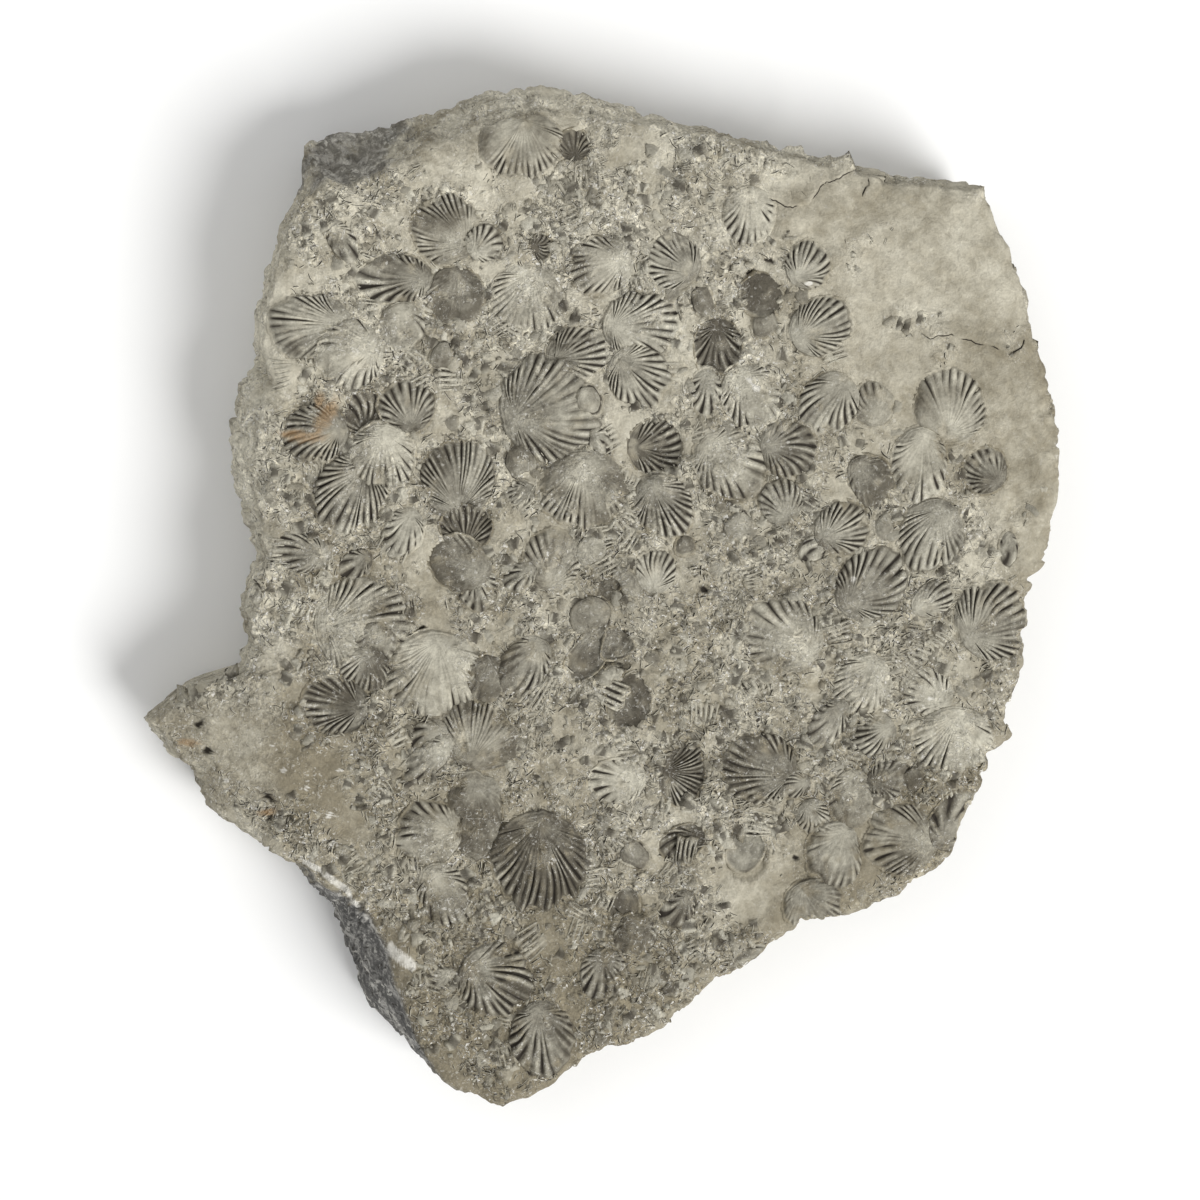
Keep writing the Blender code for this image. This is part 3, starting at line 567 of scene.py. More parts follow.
def keepInside(x, y):
    # brings what lies past the slab's rim back to just inside it, and tells where that was done
    degrees, distance = polar(x, y)
    rim = rimReach(degrees) - shells["rimGap"]
    past = distance > rim
    shrink = np.where(past, rim / distance, 1)
    x = slab["middle"][0] + (x - slab["middle"][0]) * shrink
    y = slab["middle"][1] + (y - slab["middle"][1]) * shrink
    return x, y, past


def ribColumns(shell, own):
    # columns of a shell's grid, counted in ribs, their angles, the fan's half-angle, and how surely
    # each column lies in the fan. Furrows lie at the halves and crests at the whole numbers, so that
    # the grid follows them: angle = fan * (2 * column / ribs - 1), which goes on behind the fan to a
    # full turn. A shell without ribs has even angles
    ribs = shell["ribs"]
    fan = shells["fanSpread"] * own.uniform(shells["fanNarrow"], 1)
    if ribs:
        front = (np.arange(ribs)[:, None] + np.array(shells["ribPlaces"])).ravel()
        behind = np.linspace(ribs, ribs * math.pi / fan, shells["samplesBehind"] + 1)[:-1]
        column = np.concatenate([front, behind])
        base = fan * (2 * column / ribs - 1)
    else:
        base = np.linspace(-math.pi, math.pi, shells["samplesSmooth"], endpoint=False)
        column = 0 * base
    within = fan * (1 - 0.1 * own.uniform()) - np.abs(halfTurn(base))
    return column, base, fan, sCurve(within / 0.2) * (ribs > 0)


def brokenMargin(shell, base, phi, seed, own):
    # distance from the beak to the real margin: the oval's, which wanders. One without ribs is also
    # broken to a rounded polygon: the least of far / cos(angle) over a few breaks, joined softly by
    # a high power
    size = meanSize(shell)
    circleX, circleY = np.cos(base), np.sin(base)
    wander = roughNoise(1.3 * circleX * size / 4 + 40, 1.3 * circleY * size / 4 + 40, seed, 3)
    whole = marginReach(shell, phi)
    margin = whole * (1 + shells["wander"] * wander)
    if shellKinds[shell["kind"]]["furrow"] < shells["faintFurrow"]:
        uneven = softNoise(1.1 * circleX + 7, 1.1 * circleY + 7, seed + 2)
        margin = margin * (1 + shells["uneven"] * uneven)
    if not shell["ribs"]:
        count = own.integers(*shells["breaks"])
        facing = 2 * math.pi * (np.arange(count) + own.uniform(-0.3, 0.3, count)) / count
        far = own.uniform(*shells["breakReach"], count)
        slope = np.clip(np.cos(base[:, None] - facing - own.uniform(0, 6)), 0.05, 1)
        power = shells["cornerPower"]
        margin = margin * np.sum((far / slope) ** -power, 1) ** (-1 / power) * shells["largest"]
        margin = np.minimum(margin, whole * shells["largest"])
    return margin


def shellRibs(kind, column, share, inFan, gone, seed):
    # darkness of the furrows (dirt and painted shade), height of the crests between them (which also set
    # their painted highlight), and how far the ribs have set in.
    # Across a furrow the depth is exp(-(d / w)^2), d counted in ribs. Each starts and ends at its own
    # place, some are faint, and stretches are broken off
    line = np.floor(column)
    strength = 0.80 + 0.40 * softNoise(line * 1.7, 0.3, seed + 4)
    strength = strength * sCurve(kind["whole"] + 1.4 * softNoise(line * 0.31, 0.7, seed + 5))
    start = kind["start"] + 0.24 * softNoise(line * 2.9, 2.1, seed + 6)
    ending = 1.03 + 0.05 * softNoise(line * 4.3, 5.1, seed + 7)
    ramp = sCurve((share - start) / 0.30) * sCurve((ending - share) / 0.05) * inFan
    ramp = ramp * (1 - 0.75 * sCurve(2.2 * softNoise(line * 3.1, share * 5, seed + 11) - 0.7))
    breadth = 0.105 + 0.06 * sCurve((share - start) / 0.7)
    off = column - line - 0.5
    groove = kind["dark"] * np.exp(-(off / breadth) ** 2) * ramp * strength * (1 - gone)
    crest = np.exp(-((0.5 - np.abs(off)) / 0.20) ** 2) * sCurve((share - 0.15) / 0.3) * inFan
    return groove, crest * strength * (1 - gone), ramp


def shellGrid(number):
    # one shell as a grid about its beak: columns as in ribColumns, swaying a little on their way;
    # rows at shares of the way to the margin, then rows that lie on the rock around it and a skirt
    # that dives into the rock. Height: bed + seat + lift + dome + ribs, blended at the margin into
    # the rock's own relief
    shell = shellList[number]
    kind = shellKinds[shell["kind"]]
    size = meanSize(shell)
    seed = seeds["shells"] + 7 * number
    own = np.random.default_rng(seed)
    column, base, fan, inFan = ribColumns(shell, own)
    rings, skirt = np.array(shells["rings"]), np.array(shells["skirt"])
    rows = np.append(rings, np.ones(len(skirt)))[:, None]
    outward, down = [np.append(0 * rings, side)[:, None] for side in skirt.T]
    sway = shells["bend"] * softNoise(column * 0.37, rows * 1.7, seed + 3) * inFan
    phi = base + sway * 2 * fan / max(shell["ribs"], 1)
    wrapped = halfTurn(phi)
    margin = brokenMargin(shell, base, wrapped, seed, own)
    reach = rows * margin + outward
    share = reach / margin
    x, y = shellPlane(shell, phi, reach)

    # how much of the shell is worn away to the rock, its ribs, and growth lines across them
    gone = sCurve(1.6 * roughNoise(x / 3.1, y / 3.1, seed + 31, 3) - kind["kept"])
    groove, crest, ramp = shellRibs(kind, column, share, inFan, gone, seed)
    circleX, circleY = np.cos(base), np.sin(base)
    lines = np.sin(share * (9 + number % 5) * 2.2 + 0.5 * softNoise(circleX * 2, circleY * 2, seed + 7))
    growth = shells["growth"] * lines * sCurve((share - 0.35) / 0.3)

    # heights
    relief = kind["lift"] + kind["dome"] * domeOf(shell, wrapped, np.minimum(share, 1)) + growth
    wear = 0.09 * roughNoise(x / 1.1, y / 1.1, seeds["wear"], 3)
    wear = wear + 0.18 * roughNoise(x / 4.1, y / 4.1, seeds["broadWear"], 2)
    seat = seatList[number]
    plane = seat[0] + seat[1] * x + seat[2] * y
    bed = bedHeight(x, y)
    rock = crumble(x, y)
    broken = softNoise(circleX * 1.4 + 9, circleY * 1.4 + 9, seed + 8)
    edge = kind["edge"] * sCurve(0.45 + 1.9 * broken)
    crevice = edge * np.exp(-((reach - margin - 0.12) / 0.22) ** 2)
    onRock = sCurve((share - 0.985) / 0.03)
    crumbled = np.maximum(0.5 * sCurve((share - 0.3) / 0.7), 0.85 * gone)
    inner = size * relief + wear + rock * crumbled - 0.25 * gone
    outer = rock - shells["crevice"] * crevice
    height = bed + plane * (1 - 0.3 * onRock) + inner * (1 - onRock) + outer * onRock
    ribbing = kind["furrow"] * (shells["crest"] * crest - groove)
    height = height + size * ribbing * (1 - 0.6 * onRock) + down

    # what lies on top keeps this shell down
    above = overlapping(number, range(number + 1, len(shellList)))
    if above:
        covered, top = shellTops(x, y, above)
        limit = bed + top - shells["cover"]
        height = np.where(covered, np.minimum(height, limit + down), height)

    # past the slab's rim a shell is broken off: it stops short of the rim and sinks
    x, y, past = keepInside(x, y)
    height = np.where(past, bedHeight(x, y) - shells["rimDrop"], height)
    beakX, beakY = keepInside(np.array([shell["x"]]), np.array([shell["y"]]))[:2]

    # the beak on top, and a point under the middle that closes the solid
    points = np.concatenate([
        np.stack([x.ravel(), y.ravel(), height.ravel()], 1),
        [[beakX[0], beakY[0], height[0].mean()], [x[-1].mean(), y[-1].mean(), height[-1].min() - 0.3]],
    ])
    count = len(column)
    faces = gridFaces(len(rows), count, True)
    beak = len(rows) * count
    last = beak - count
    ring = np.arange(count)
    after = (ring + 1) % count
    faces += np.stack([beak + 0 * ring, ring, after], 1).tolist()
    faces += np.stack([beak + 1 + 0 * ring, last + after, last + ring], 1).tolist()

    # what the material reads: the shell's own tone, paler over a worn middle, with a painted highlight
    # along the crests and painted shade beside the furrows; the dark of furrows and of the crevice round
    # it, dirt and painted shade; how much shell shows, a little less on the crests
    streaks = 0.20 * softNoise(column * 3.1 + 5 * circleX, share * 2.5 + 5 * circleY, seed + 9)
    streaks = streaks + 0.22 * roughNoise(x / 2.7, y / 2.7, seed + 10, 3) + 0.12 * lines * (share > 0.4)
    middle = kind["pale"] * sCurve((0.75 - share) / 0.6)
    uneven = 0.45 * softNoise(x / 5, y / 5, seed + 12)
    # painted highlight along the rib crests, and painted shade on their flanks and in the furrows
    shade = 0.85 * shell["tone"] - 0.36 + middle + streaks + uneven + 1.15 * crest * ramp
    shade = shade - 0.35 * (1 - crest) * ramp
    bare = 0.7 * sCurve(1.2 * roughNoise(x / 2.4, y / 2.4, seeds["bare"], 3) - 0.35)
    bare = np.maximum(0.92 * gone, bare)
    # less shell colour on the crests helps their painted highlight
    shown = kind["colour"] * (1 - bare) * (1 - 0.30 * crest * ramp) * (1 - onRock)
    # dark of the furrows and of the crevice round the margin: dirt and painted shade
    paintedShadeAndDirt = np.maximum(groove, 0.85 * crevice)
    return points, faces, {
        "tone": np.append(shade.ravel(), [shade[0].mean(), 0]),
        "groove": np.append(paintedShadeAndDirt.ravel(), [0, 0]),
        "shell": np.append(shown.ravel(), [shown[0].mean(), 0]),
    }


def roundGrid(halfCells):
    # a square grid mapped onto a disc: each point's share of the radius and direction in degrees.
    # Square rings become circles, and directions along a side are evenly spaced
    share = np.linspace(-1, 1, 2 * halfCells + 1)
    a, b = [axis.ravel() for axis in np.meshgrid(share, share)]
    flat = np.abs(a) >= np.abs(b)
    safeA = np.where(flat & (a != 0), a, 1)
    safeB = np.where(flat, 1, b)
    turn = np.where(flat, 45 * b / safeA + np.where(a < 0, 180, 0),
                    90 - 45 * a / safeB + np.where(b < 0, 180, 0))
    return np.maximum(np.abs(a), np.abs(b)), turn % 360


def squareRing(halfCells):
    # the numbers of a square grid's edge points, counter-clockwise from its lower right corner
    side = 2 * halfCells
    step = np.arange(side)
    width = side + 1
    right = side + step * width
    top = side * width + side - step
    left = (side - step) * width
    bottom = step
    return np.concatenate([right, top, left, bottom])


def slabFace():
    # the upper face: a round grid stretched to the rim, lifted to the bed's height and the broken
    # shell on it, and let down under every shell and into pits
    radius, degrees = roundGrid(slab["halfCells"])
    x, y = ringPlane(degrees, radius * rimReach(degrees))
    bed = bedHeight(x, y)
    calmRim = 0.5 + 0.5 * sCurve((1 - radius) * 40)
    pit = spots(x, y, pits, 0.35)
    height = bed + crumble(x, y) * calmRim - 0.9 * pit
    for shell, seat in zip(shellList, seatList):
        phi, share = shellPolar(shell, x, y)
        top = bed + plainTop(shell, seat, x, y, phi, share) - shells["bed"]
        height = np.where(share < 1.03, np.minimum(height, top), height)
    # the pits darkened in the colour: dirt and painted shade in them
    return np.stack([x, y, height], 1), degrees, 0.75 * pit


def sideProfile(degrees, rimHeight):
    # corners of the broken side from the rim to the foot: how far in from the brim, and how high
    setBack, brim, drop = sideAt(degrees)
    zero = 0 * brim
    inward = [setBack, setBack * (0.35 + 0.4 * drop), zero, zero + slab["ledge"],
              zero + slab["undercut"] * 0.3 + 0.35, zero + slab["undercut"]]
    levels = [rimHeight, brim + (rimHeight - brim) * (0.62 - 0.42 * drop), brim, brim * 0.72,
              brim * 0.40, zero + slab["restRise"]]
    return inward, levels


def wallRows(degrees, rimHeight):
    # the broken side as rows below the rim: distance, height, tone and darkness of each. Along the
    # straight stretches of its profile lie bedding blocks of two sizes, long and thin, each with its
    # own overhang, tilt and tone, dark joints between them, and rough grain
    inward, levels = sideProfile(degrees, rimHeight)
    places = slab["profilePlaces"]
    dip = 0.8 * ringNoise(degrees, 4.2, 9, (0, 0), seeds["dip"], 1)
    rows = []
    for t in np.linspace(0, 1, slab["wallRows"])[1:]:
        k = min(len(places) - 2, int(np.searchsorted(places, t, side="right")) - 1)
        s = (t - places[k]) / (places[k + 1] - places[k])
        back = inward[k] * (1 - s) + inward[k + 1] * s
        level = levels[k] * (1 - s) + levels[k + 1] * s
        relief, tone, joint = 0, 0, 0
        for count, thin, amount, seed in slab["blocks"]:
            cell = degrees / 360 * count
            dx, dy, lift, tiltX, tiltY, gap = cellNoise(cell, (level + dip) / thin, seed, count)
            relief = relief + amount * (lift - 0.5 + 0.8 * (tiltX - 0.5) * dx + 1.1 * (tiltY - 0.6) * dy)
            tone = tone + 0.9 * (tiltX - 0.5)
            joint = np.maximum(joint, amount * (1 - sCurve(gap / 0.16)))
        grain = ringNoise(degrees, 60, 0, (level / 3, -level / 2.2), seeds["grain"], 4)
        fade = sCurve(t / 0.12) * sCurve((1 - t) / 0.06) * (0.4 + 0.45 * sCurve((t - 0.3) / 0.3)) + 0.15
        bulge = (relief + 0.30 * grain - 0.35 * joint) * fade - 0.35
        reach = brimReach(degrees, rimHeight - level) - back + bulge
        height = np.maximum(level, slab["restRise"] * 0.6)
        rows.append((reach, height, tone + 0.15 * grain, 0.26 * joint * fade))
    return rows


def bandFaces(upper, lower):
    # quads between two rings of as many points
    return np.stack([upper, lower, np.roll(lower, -1), np.roll(upper, -1)], 1).tolist()


def zipFaces(upper, lower):
    # joins a ring to one with half as many points, three triangles for each lower point
    first, between, last = upper[::2], upper[1::2], np.roll(upper[::2], -1)
    after = np.roll(lower, -1)
    triangles = [(first, lower, between), (between, lower, after), (between, after, last)]
    return np.concatenate([np.stack(corners, 1) for corners in triangles]).tolist()


def underside(edgeDegrees, edgeReach, edgeNumbers, start):
    # the flat underside, a little hollow inwards: a round grid that has the last ring as its edge
    halfCells = slab["undersideHalfCells"]
    radius, degrees = roundGrid(halfCells)
    order = np.argsort(edgeDegrees)
    reach = np.interp(degrees, edgeDegrees[order], edgeReach[order], period=360)
    x, y = ringPlane(degrees, radius * reach)
    hollow = np.clip(0.9 * roughNoise(x / 14, y / 14, seeds["underside"], 4), 0, 1.4)
    hollow = hollow * sCurve((1 - radius) * 8)
    edge = squareRing(halfCells)
    inner = np.ones(len(x), bool)
    inner[edge] = False
    number = np.zeros(len(x), int)
    number[edge] = edgeNumbers
    number[inner] = start + np.arange(inner.sum())
    faces = number[np.array(gridFaces(2 * halfCells + 1, 2 * halfCells + 1, False))].tolist()
    return np.stack([x, y, hollow], 1)[inner], faces


def buildRock():
    # face, sides and underside as one closed mesh, each ring of points joined to the one above
    # the face's pit darkening, dirt and painted shade, goes into the groove value
    face, degrees, paintedShadeAndDirt = slabFace()
    across = 2 * slab["halfCells"] + 1
    faces = [corners[::-1] for corners in gridFaces(across, across, False)]
    upper = squareRing(slab["halfCells"])
    degrees = degrees[upper]
    wall = wallRows(degrees, face[upper, 2])
    rings = [(degrees, reach, height, bandFaces) for reach, height, tone, joint in wall]
    foot = wall[-1][0]
    for inset, level in slab["underRows"]:   # each with half the points of the one above
        degrees, foot = degrees[::2], foot[::2]
        rings.append((degrees, foot - inset, np.full(len(foot), level), zipFaces))
    points = [face]
    start = len(face)
    for degrees, reach, height, facesBetween in rings:
        x, y = ringPlane(degrees, reach)
        points.append(np.stack([x, y, height], 1))
        lower = start + np.arange(len(x))
        faces += facesBetween(upper, lower)
        start += len(x)
        upper = lower
    underPoints, underFaces = underside(degrees, reach, upper, start)
    points = np.concatenate(points + [underPoints])
    tone = np.concatenate([0 * paintedShadeAndDirt] + [row[2] for row in wall])
    groove = np.concatenate([paintedShadeAndDirt] + [row[3] for row in wall])
    rest = np.zeros(len(points) - len(tone))
    return points, faces + underFaces, {"tone": np.append(tone, rest), "groove": np.append(groove, rest)}


class Wire:
    # a shader socket that can be added to, taken away and multiplied
    def __init__(self, tree, socket=None):
        self.tree = tree
        self.socket = socket

    def node(self, kind, settings=None, values=None, output=0):
        # adds a node: its settings first, then a value or a link for each named or numbered socket
        made = self.tree.nodes.new(kind)
        for name, value in (settings or {}).items():
            setattr(made, name, value)
        for name, value in (values or {}).items():
            if isinstance(value, Wire):
                self.tree.links.new(value.socket, made.inputs[name])
            else:
                made.inputs[name].default_value = value
        return Wire(self.tree, made.outputs[output] if made.outputs else None)

    def maths(self, operation, first, second=0.0):
        return self.node("ShaderNodeMath", {"operation": operation}, {0: first, 1: second})

    def __add__(self, other):
        return self.maths("ADD", self, other)

    def __radd__(self, other):
        return self.maths("ADD", other, self)

    def __sub__(self, other):
        return self.maths("SUBTRACT", self, other)

    def __rsub__(self, other):
        return self.maths("SUBTRACT", other, self)

    def __mul__(self, other):
        return self.maths("MULTIPLY", self, other)

    def __rmul__(self, other):
        return self.maths("MULTIPLY", other, self)

    def __abs__(self):
        return self.maths("ABSOLUTE", self)

    def step(self, low, high):
        # 0 below low, 1 above high, and an even S between; falling where low is above high
        settings = {"interpolation_type": "SMOOTHSTEP", "clamp": True}
        ends = {"Value": self, "From Min": min(low, high), "From Max": max(low, high)}
        rising = self.node("ShaderNodeMapRange", settings, ends)
        return rising if low < high else 1 - rising

    def noise(self, place, size, detail, roughness, distortion):
        # noise with features of a size in millimetres; its scale counts them in a metre
        return self.node("ShaderNodeTexNoise", {"noise_dimensions": "3D"}, {
            "Vector": place, "Scale": 1000 / size, "Detail": detail, "Roughness": roughness,
            "Distortion": distortion})

    def mix(self, first, second, share):
        # from the first colour to the second by a share
        return self.node("ShaderNodeMix", {"data_type": "RGBA"}, {0: share, 6: first, 7: second}, 2)

    def shade(self, colour, amount):
        # a colour made lighter or darker by an amount
        return self.node("ShaderNodeVectorMath", {"operation": "SCALE"}, {0: colour, "Scale": amount})

    def value(self, name):
        # a number kept at the mesh's points
        return self.node("ShaderNodeAttribute", {"attribute_name": name}, output=2)


# Linear colours of the rock and its shells, roughness, and height of the bump in metres
limestoneLook = {
    "matrixDark": (0.205, 0.179, 0.124, 1),
    "matrixPale": (0.555, 0.524, 0.426, 1),
    "shellDark": (0.072, 0.063, 0.046, 1),
    "shellPale": (0.535, 0.512, 0.420, 1),
    # groove: dark of grooves and specks, also used for painted shade and painted shadow strokes
    "groove": (0.026, 0.021, 0.015, 1),
    "freshDark": (0.095, 0.093, 0.088, 1),
    "freshPale": (0.37, 0.36, 0.335, 1),
    # white: chips, flecks and sparks, also used for painted highlight glints
    "white": (0.70, 0.68, 0.62, 1),
    "stain": (0.34, 0.22, 0.11, 1),
    "roughness": 0.82,
    "specular": 0.28,
    "bump": 0.6 * mm,
    "bumpStrength": 0.9,
}

# Noises that the limestone is made of: size of the features, detail, roughness and distortion
limestoneNoises = {
    "broad": (15, 4, 0.6, 0),
    "patch": (4.2, 4, 0.60, 0.6),
    "crumbs": (1.5, 3, 0.62, 0.8),
    "grain": (0.45, 2, 0.6, 0),
    # its contour lines carry the painted shadow strokes and painted highlight glints
    "wandering": (2.6, 1.5, 0.5, 2.2),     # strokes and glints follow its contour lines
    "crowding": (7, 2, 0.5, 0),
    "specks": (1.0, 2, 0.5, 0.5),
    "flecks": (0.8, 2, 0.5, 0),
    "streaks": (6.0, 5, 0.68, 1.2),        # the last three are of the fresh breaks
    "sparks": (1.3, 3, 0.62, 0),
    "chinks": (1.9, 3, 0.6, 0),
}

# What every mesh tells the limestone about each of its points, from 0 to 1 or so: the shell's tone, with
# painted highlights on rib crests and splinter tops and painted shade on rib flanks; the dark of grooves,
# which is dirt and painted shade in furrows, crevices and pits, painted shadow under layer edges and beside
# splinters, and dark joints on the sides; how much shell shows, how pale the rock is, where it is smooth,
# freshly broken, white or stained
surfaceValues = ["tone", "groove", "shell", "field", "plain", "fresh", "white", "stain"]


def shellyRock(w, look, noise, tone, groove, shell, field, plain):
    # colour and height of the weathered rock: matrix mottled from brown to pale, shell in its own smoother
    # tones, and between the shells a rubble of painted shadow strokes and painted highlight glints, dark
    # specks and white flecks
    patch, crumbs, grain = noise["patch"], noise["crumbs"], noise["grain"]
    rubble = (1 - plain) * (1 - shell * 0.75) * noise["crowding"].step(0.30, 0.50)
    # painted shadow strokes and painted highlight glints: thin dark and pale lines side by side, along the
    # edges of broken shell
    shadowStrokes = abs(noise["wandering"] - 0.5).step(0.022, 0.006) * crumbs.step(0.46, 0.60)
    glints = abs(noise["wandering"] - 0.53).step(0.024, 0.008) * crumbs.step(0.42, 0.52)

    paleness = field - 0.03 + (noise["broad"] - 0.5) * (1.0 + plain * 0.4)
    paleness = paleness + (patch - 0.5) * (0.45 + 1.3 * rubble + 0.5 * plain)
    paleness = paleness + tone * 0.35 * (1 - shell)
    matrix = w.mix(look["matrixDark"], look["matrixPale"], paleness.step(-0.15, 1.15))
    shellShare = tone * 0.5 + 0.5 + (patch - 0.5) * 0.45 + (crumbs - 0.5) * 0.12
    colour = w.mix(matrix, w.mix(look["shellDark"], look["shellPale"], shellShare), shell)
    mottle = 1.03 + rubble * 0.03 + (crumbs - 0.5) * (0.5 + rubble * 2.7 + plain * 0.35)
    mottle = mottle + (grain - 0.5) * (0.45 + rubble * 0.9)
    colour = w.shade(colour, mottle)
    # the painted shadow strokes darken the rubble and the painted highlight glints lighten it
    colour = w.mix(colour, look["groove"], shadowStrokes * rubble * 0.95)
    colour = w.mix(colour, look["white"], glints * rubble * 0.9)
    colour = w.mix(colour, look["groove"], noise["specks"].step(0.34, 0.27) * (0.10 + rubble * 0.8))
    colour = w.mix(colour, look["white"], noise["flecks"].step(0.64, 0.70) * (0.12 + rubble * 0.88))
    # the groove value darkens: dirt and painted shade in furrows, crevices and pits, painted shadow under
    # layer edges and beside splinters, and dark joints on the sides
    colour = w.mix(colour, look["shellDark"], groove.step(0.06, 0.34) * 0.55)
    colour = w.mix(colour, look["groove"], groove.step(0.28, 0.58) * 0.96)

    height = grain * (0.22 + rubble * 0.2) + patch * 0.45 + crumbs * 0.25
    height = height + (crumbs * 1.1 + glints * 0.25 - shadowStrokes * 0.3) * rubble
    return colour, height


def freshBreak(w, look, noise):
    # colour of a fresh break: grey streaks, with crumbs, white sparks and dark chinks
    streaks = noise["streaks"] + (noise["crumbs"] - 0.5) * 0.8
    colour = w.mix(look["freshDark"], look["freshPale"], streaks.step(0.40, 0.72))
    colour = w.shade(colour, 0.45 + 1.1 * noise["crumbs"])
    sparks = noise["sparks"].step(0.54, 0.62) * noise["patch"].step(0.40, 0.60)
    colour = w.mix(colour, look["white"], sparks * 0.75)
    return w.mix(colour, look["groove"], noise["chinks"].step(0.42, 0.34) * 0.8)


def makeLimestone():
    # weathered rock with an orange stain, then fresh breaks, then white chips over both
    look = limestoneLook
    material = bpy.data.materials.new("shell_limestone")
    material.use_nodes = True
    tree = material.node_tree
    tree.nodes.clear()
    w = Wire(tree)
    place = w.node("ShaderNodeTexCoord", output=3)
    tone, groove, shell, field, plain, fresh, white, stain = [w.value(name) for name in surfaceValues]
    noise = {name: w.noise(place, *layer) for name, layer in limestoneNoises.items()}
    patch, crumbs = noise["patch"], noise["crumbs"]
    colour, height = shellyRock(w, look, noise, tone, groove, shell, field, plain)
    colour = w.mix(colour, look["stain"], stain * (patch + crumbs - 0.35))
    colour = w.mix(colour, freshBreak(w, look, noise), fresh)
    chips = white * (0.25 + 0.6 * patch + 0.65 * crumbs)
    colour = w.mix(colour, look["white"], chips.step(0.36, 0.80) * (0.2 + crumbs))
    bump = w.node("ShaderNodeBump", values={
        "Strength": look["bumpStrength"], "Distance": look["bump"], "Height": height})
    roughness = look["roughness"] + crumbs * 0.12 - shell * 0.10
    surface = w.node("ShaderNodeBsdfPrincipled", values={
        "Base Color": colour, "Roughness": roughness, "Normal": bump,
        "Specular IOR Level": look["specular"]})
    w.node("ShaderNodeOutputMaterial", values={"Surface": surface})
    return material


limestone = makeLimestone()
print("material made")

# How pale the rock is: an even rise to the right and upwards, and what ovals add or take away
rockTones = {
    "level": 0.45,
    "toRight": 0.0008,
    "upwards": 0.0034,
    "tab": 0.45,
    "ovals": [
        (0.20, [(15, -50, 22, 13, 20)]),
        (-0.34, [tabOval]),
        (-0.11, [(-5, 86, 52, 16, 0), (-25, -82, 30, 22, 0)]),
        (-0.20, [(88, 15, 30, 14, 90), (62, -42, 20, 16, 0)]),
        (-0.24, [(66, 56, 34, 30, 0), (-15, -78, 34, 16, 40)]),
    ],
    "plainWalls": 0.3,
    "tabRubble": 0.25,
    # fresh breaks of the sides: from and to in degrees, width of their borders, strength
    "freshBreaks": [(219, 254, 5, 1.0), (112, 126, 3, 0.7)],
}


def placeValues(points):
    # what the material reads from a point's place: how pale the rock is, where it is smooth, where
    # the break is fresh, and its stains and chips
    x, y, z = points.T
    degrees, distance = polar(x, y)
    field = rockTones["level"] + rockTones["toRight"] * x + rockTones["upwards"] * y
    field = field + rockTones["tab"] * sCurve((-58 - x) / 12)
    for amount, ovals in rockTones["ovals"]:
        field = field + amount * spots(x, y, ovals)
    outside = sCurve((distance - rimReach(degrees)) / 0.8 + 0.4)
    plain = plainShare(x, y) - rockTones["tabRubble"] * spots(x, y, [tabOval])
    plain = plain * (1 - outside) + rockTones["plainWalls"] * outside
    ragged = degrees + 4 * roughNoise(x / 6 + z / 4, y / 6 - z / 4, seeds["fresh"], 3)
    fresh = 0 * x
    for begin, end, border, strength in rockTones["freshBreaks"]:
        within = sCurve((ragged - begin) / border) * sCurve((end - ragged) / border)
        fresh = np.maximum(fresh, strength * within)
    upper = sCurve((z - 4) / 4)
    return {"field": field, "plain": plain, "fresh": fresh * outside,
            "white": spots(x, y, whites) * upper, "stain": spots(x, y, stains, 0.3) * upper}


def makePiece(name, shape):
    # one mesh object from points, faces and values, with its place in its mesh, smooth shading, and
    # a number at every point for each value that the material reads
    points, faces, values = shape
    values.update(placeValues(points))
    mesh = bpy.data.meshes.new(name)
    mesh.from_pydata((points * mm).tolist(), [], faces)
    for label in surfaceValues:
        attribute = mesh.attributes.new(label, "FLOAT", "POINT")
        data = values.get(label, np.zeros(len(points)))
        attribute.data.foreach_set("value", np.asarray(data, np.float32))
    mesh.shade_smooth()
    piece = bpy.data.objects.new(name, mesh)
    bpy.context.scene.collection.objects.link(piece)
    mesh.materials.append(limestone)
    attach(piece, "root")
    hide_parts("shell_bed_slab")
    print(name, "triangles:", sum(len(face) - 2 for face in faces))
    return piece


def joined(shapes):
    # several shapes as one set of points, faces and values
    starts = np.cumsum([0] + [len(points) for points, faces, values in shapes])
    faces = []
    for start, shape in zip(starts.tolist(), shapes):
        faces += [[corner + start for corner in face] for face in shape[1]]
    labels = shapes[0][2]
    values = {label: np.concatenate([shape[2][label] for shape in shapes]) for label in labels}
    return np.concatenate([shape[0] for shape in shapes]), faces, values


makePiece("shell_bed_rock", buildRock())

shellGroups = 3
groupSize = math.ceil(len(shellList) / shellGroups)
for group in range(shellGroups):
    numbers = range(len(shellList))[group * groupSize:(group + 1) * groupSize]
    makePiece("shells_" + str(group + 1), joined([shellGrid(number) for number in numbers]))


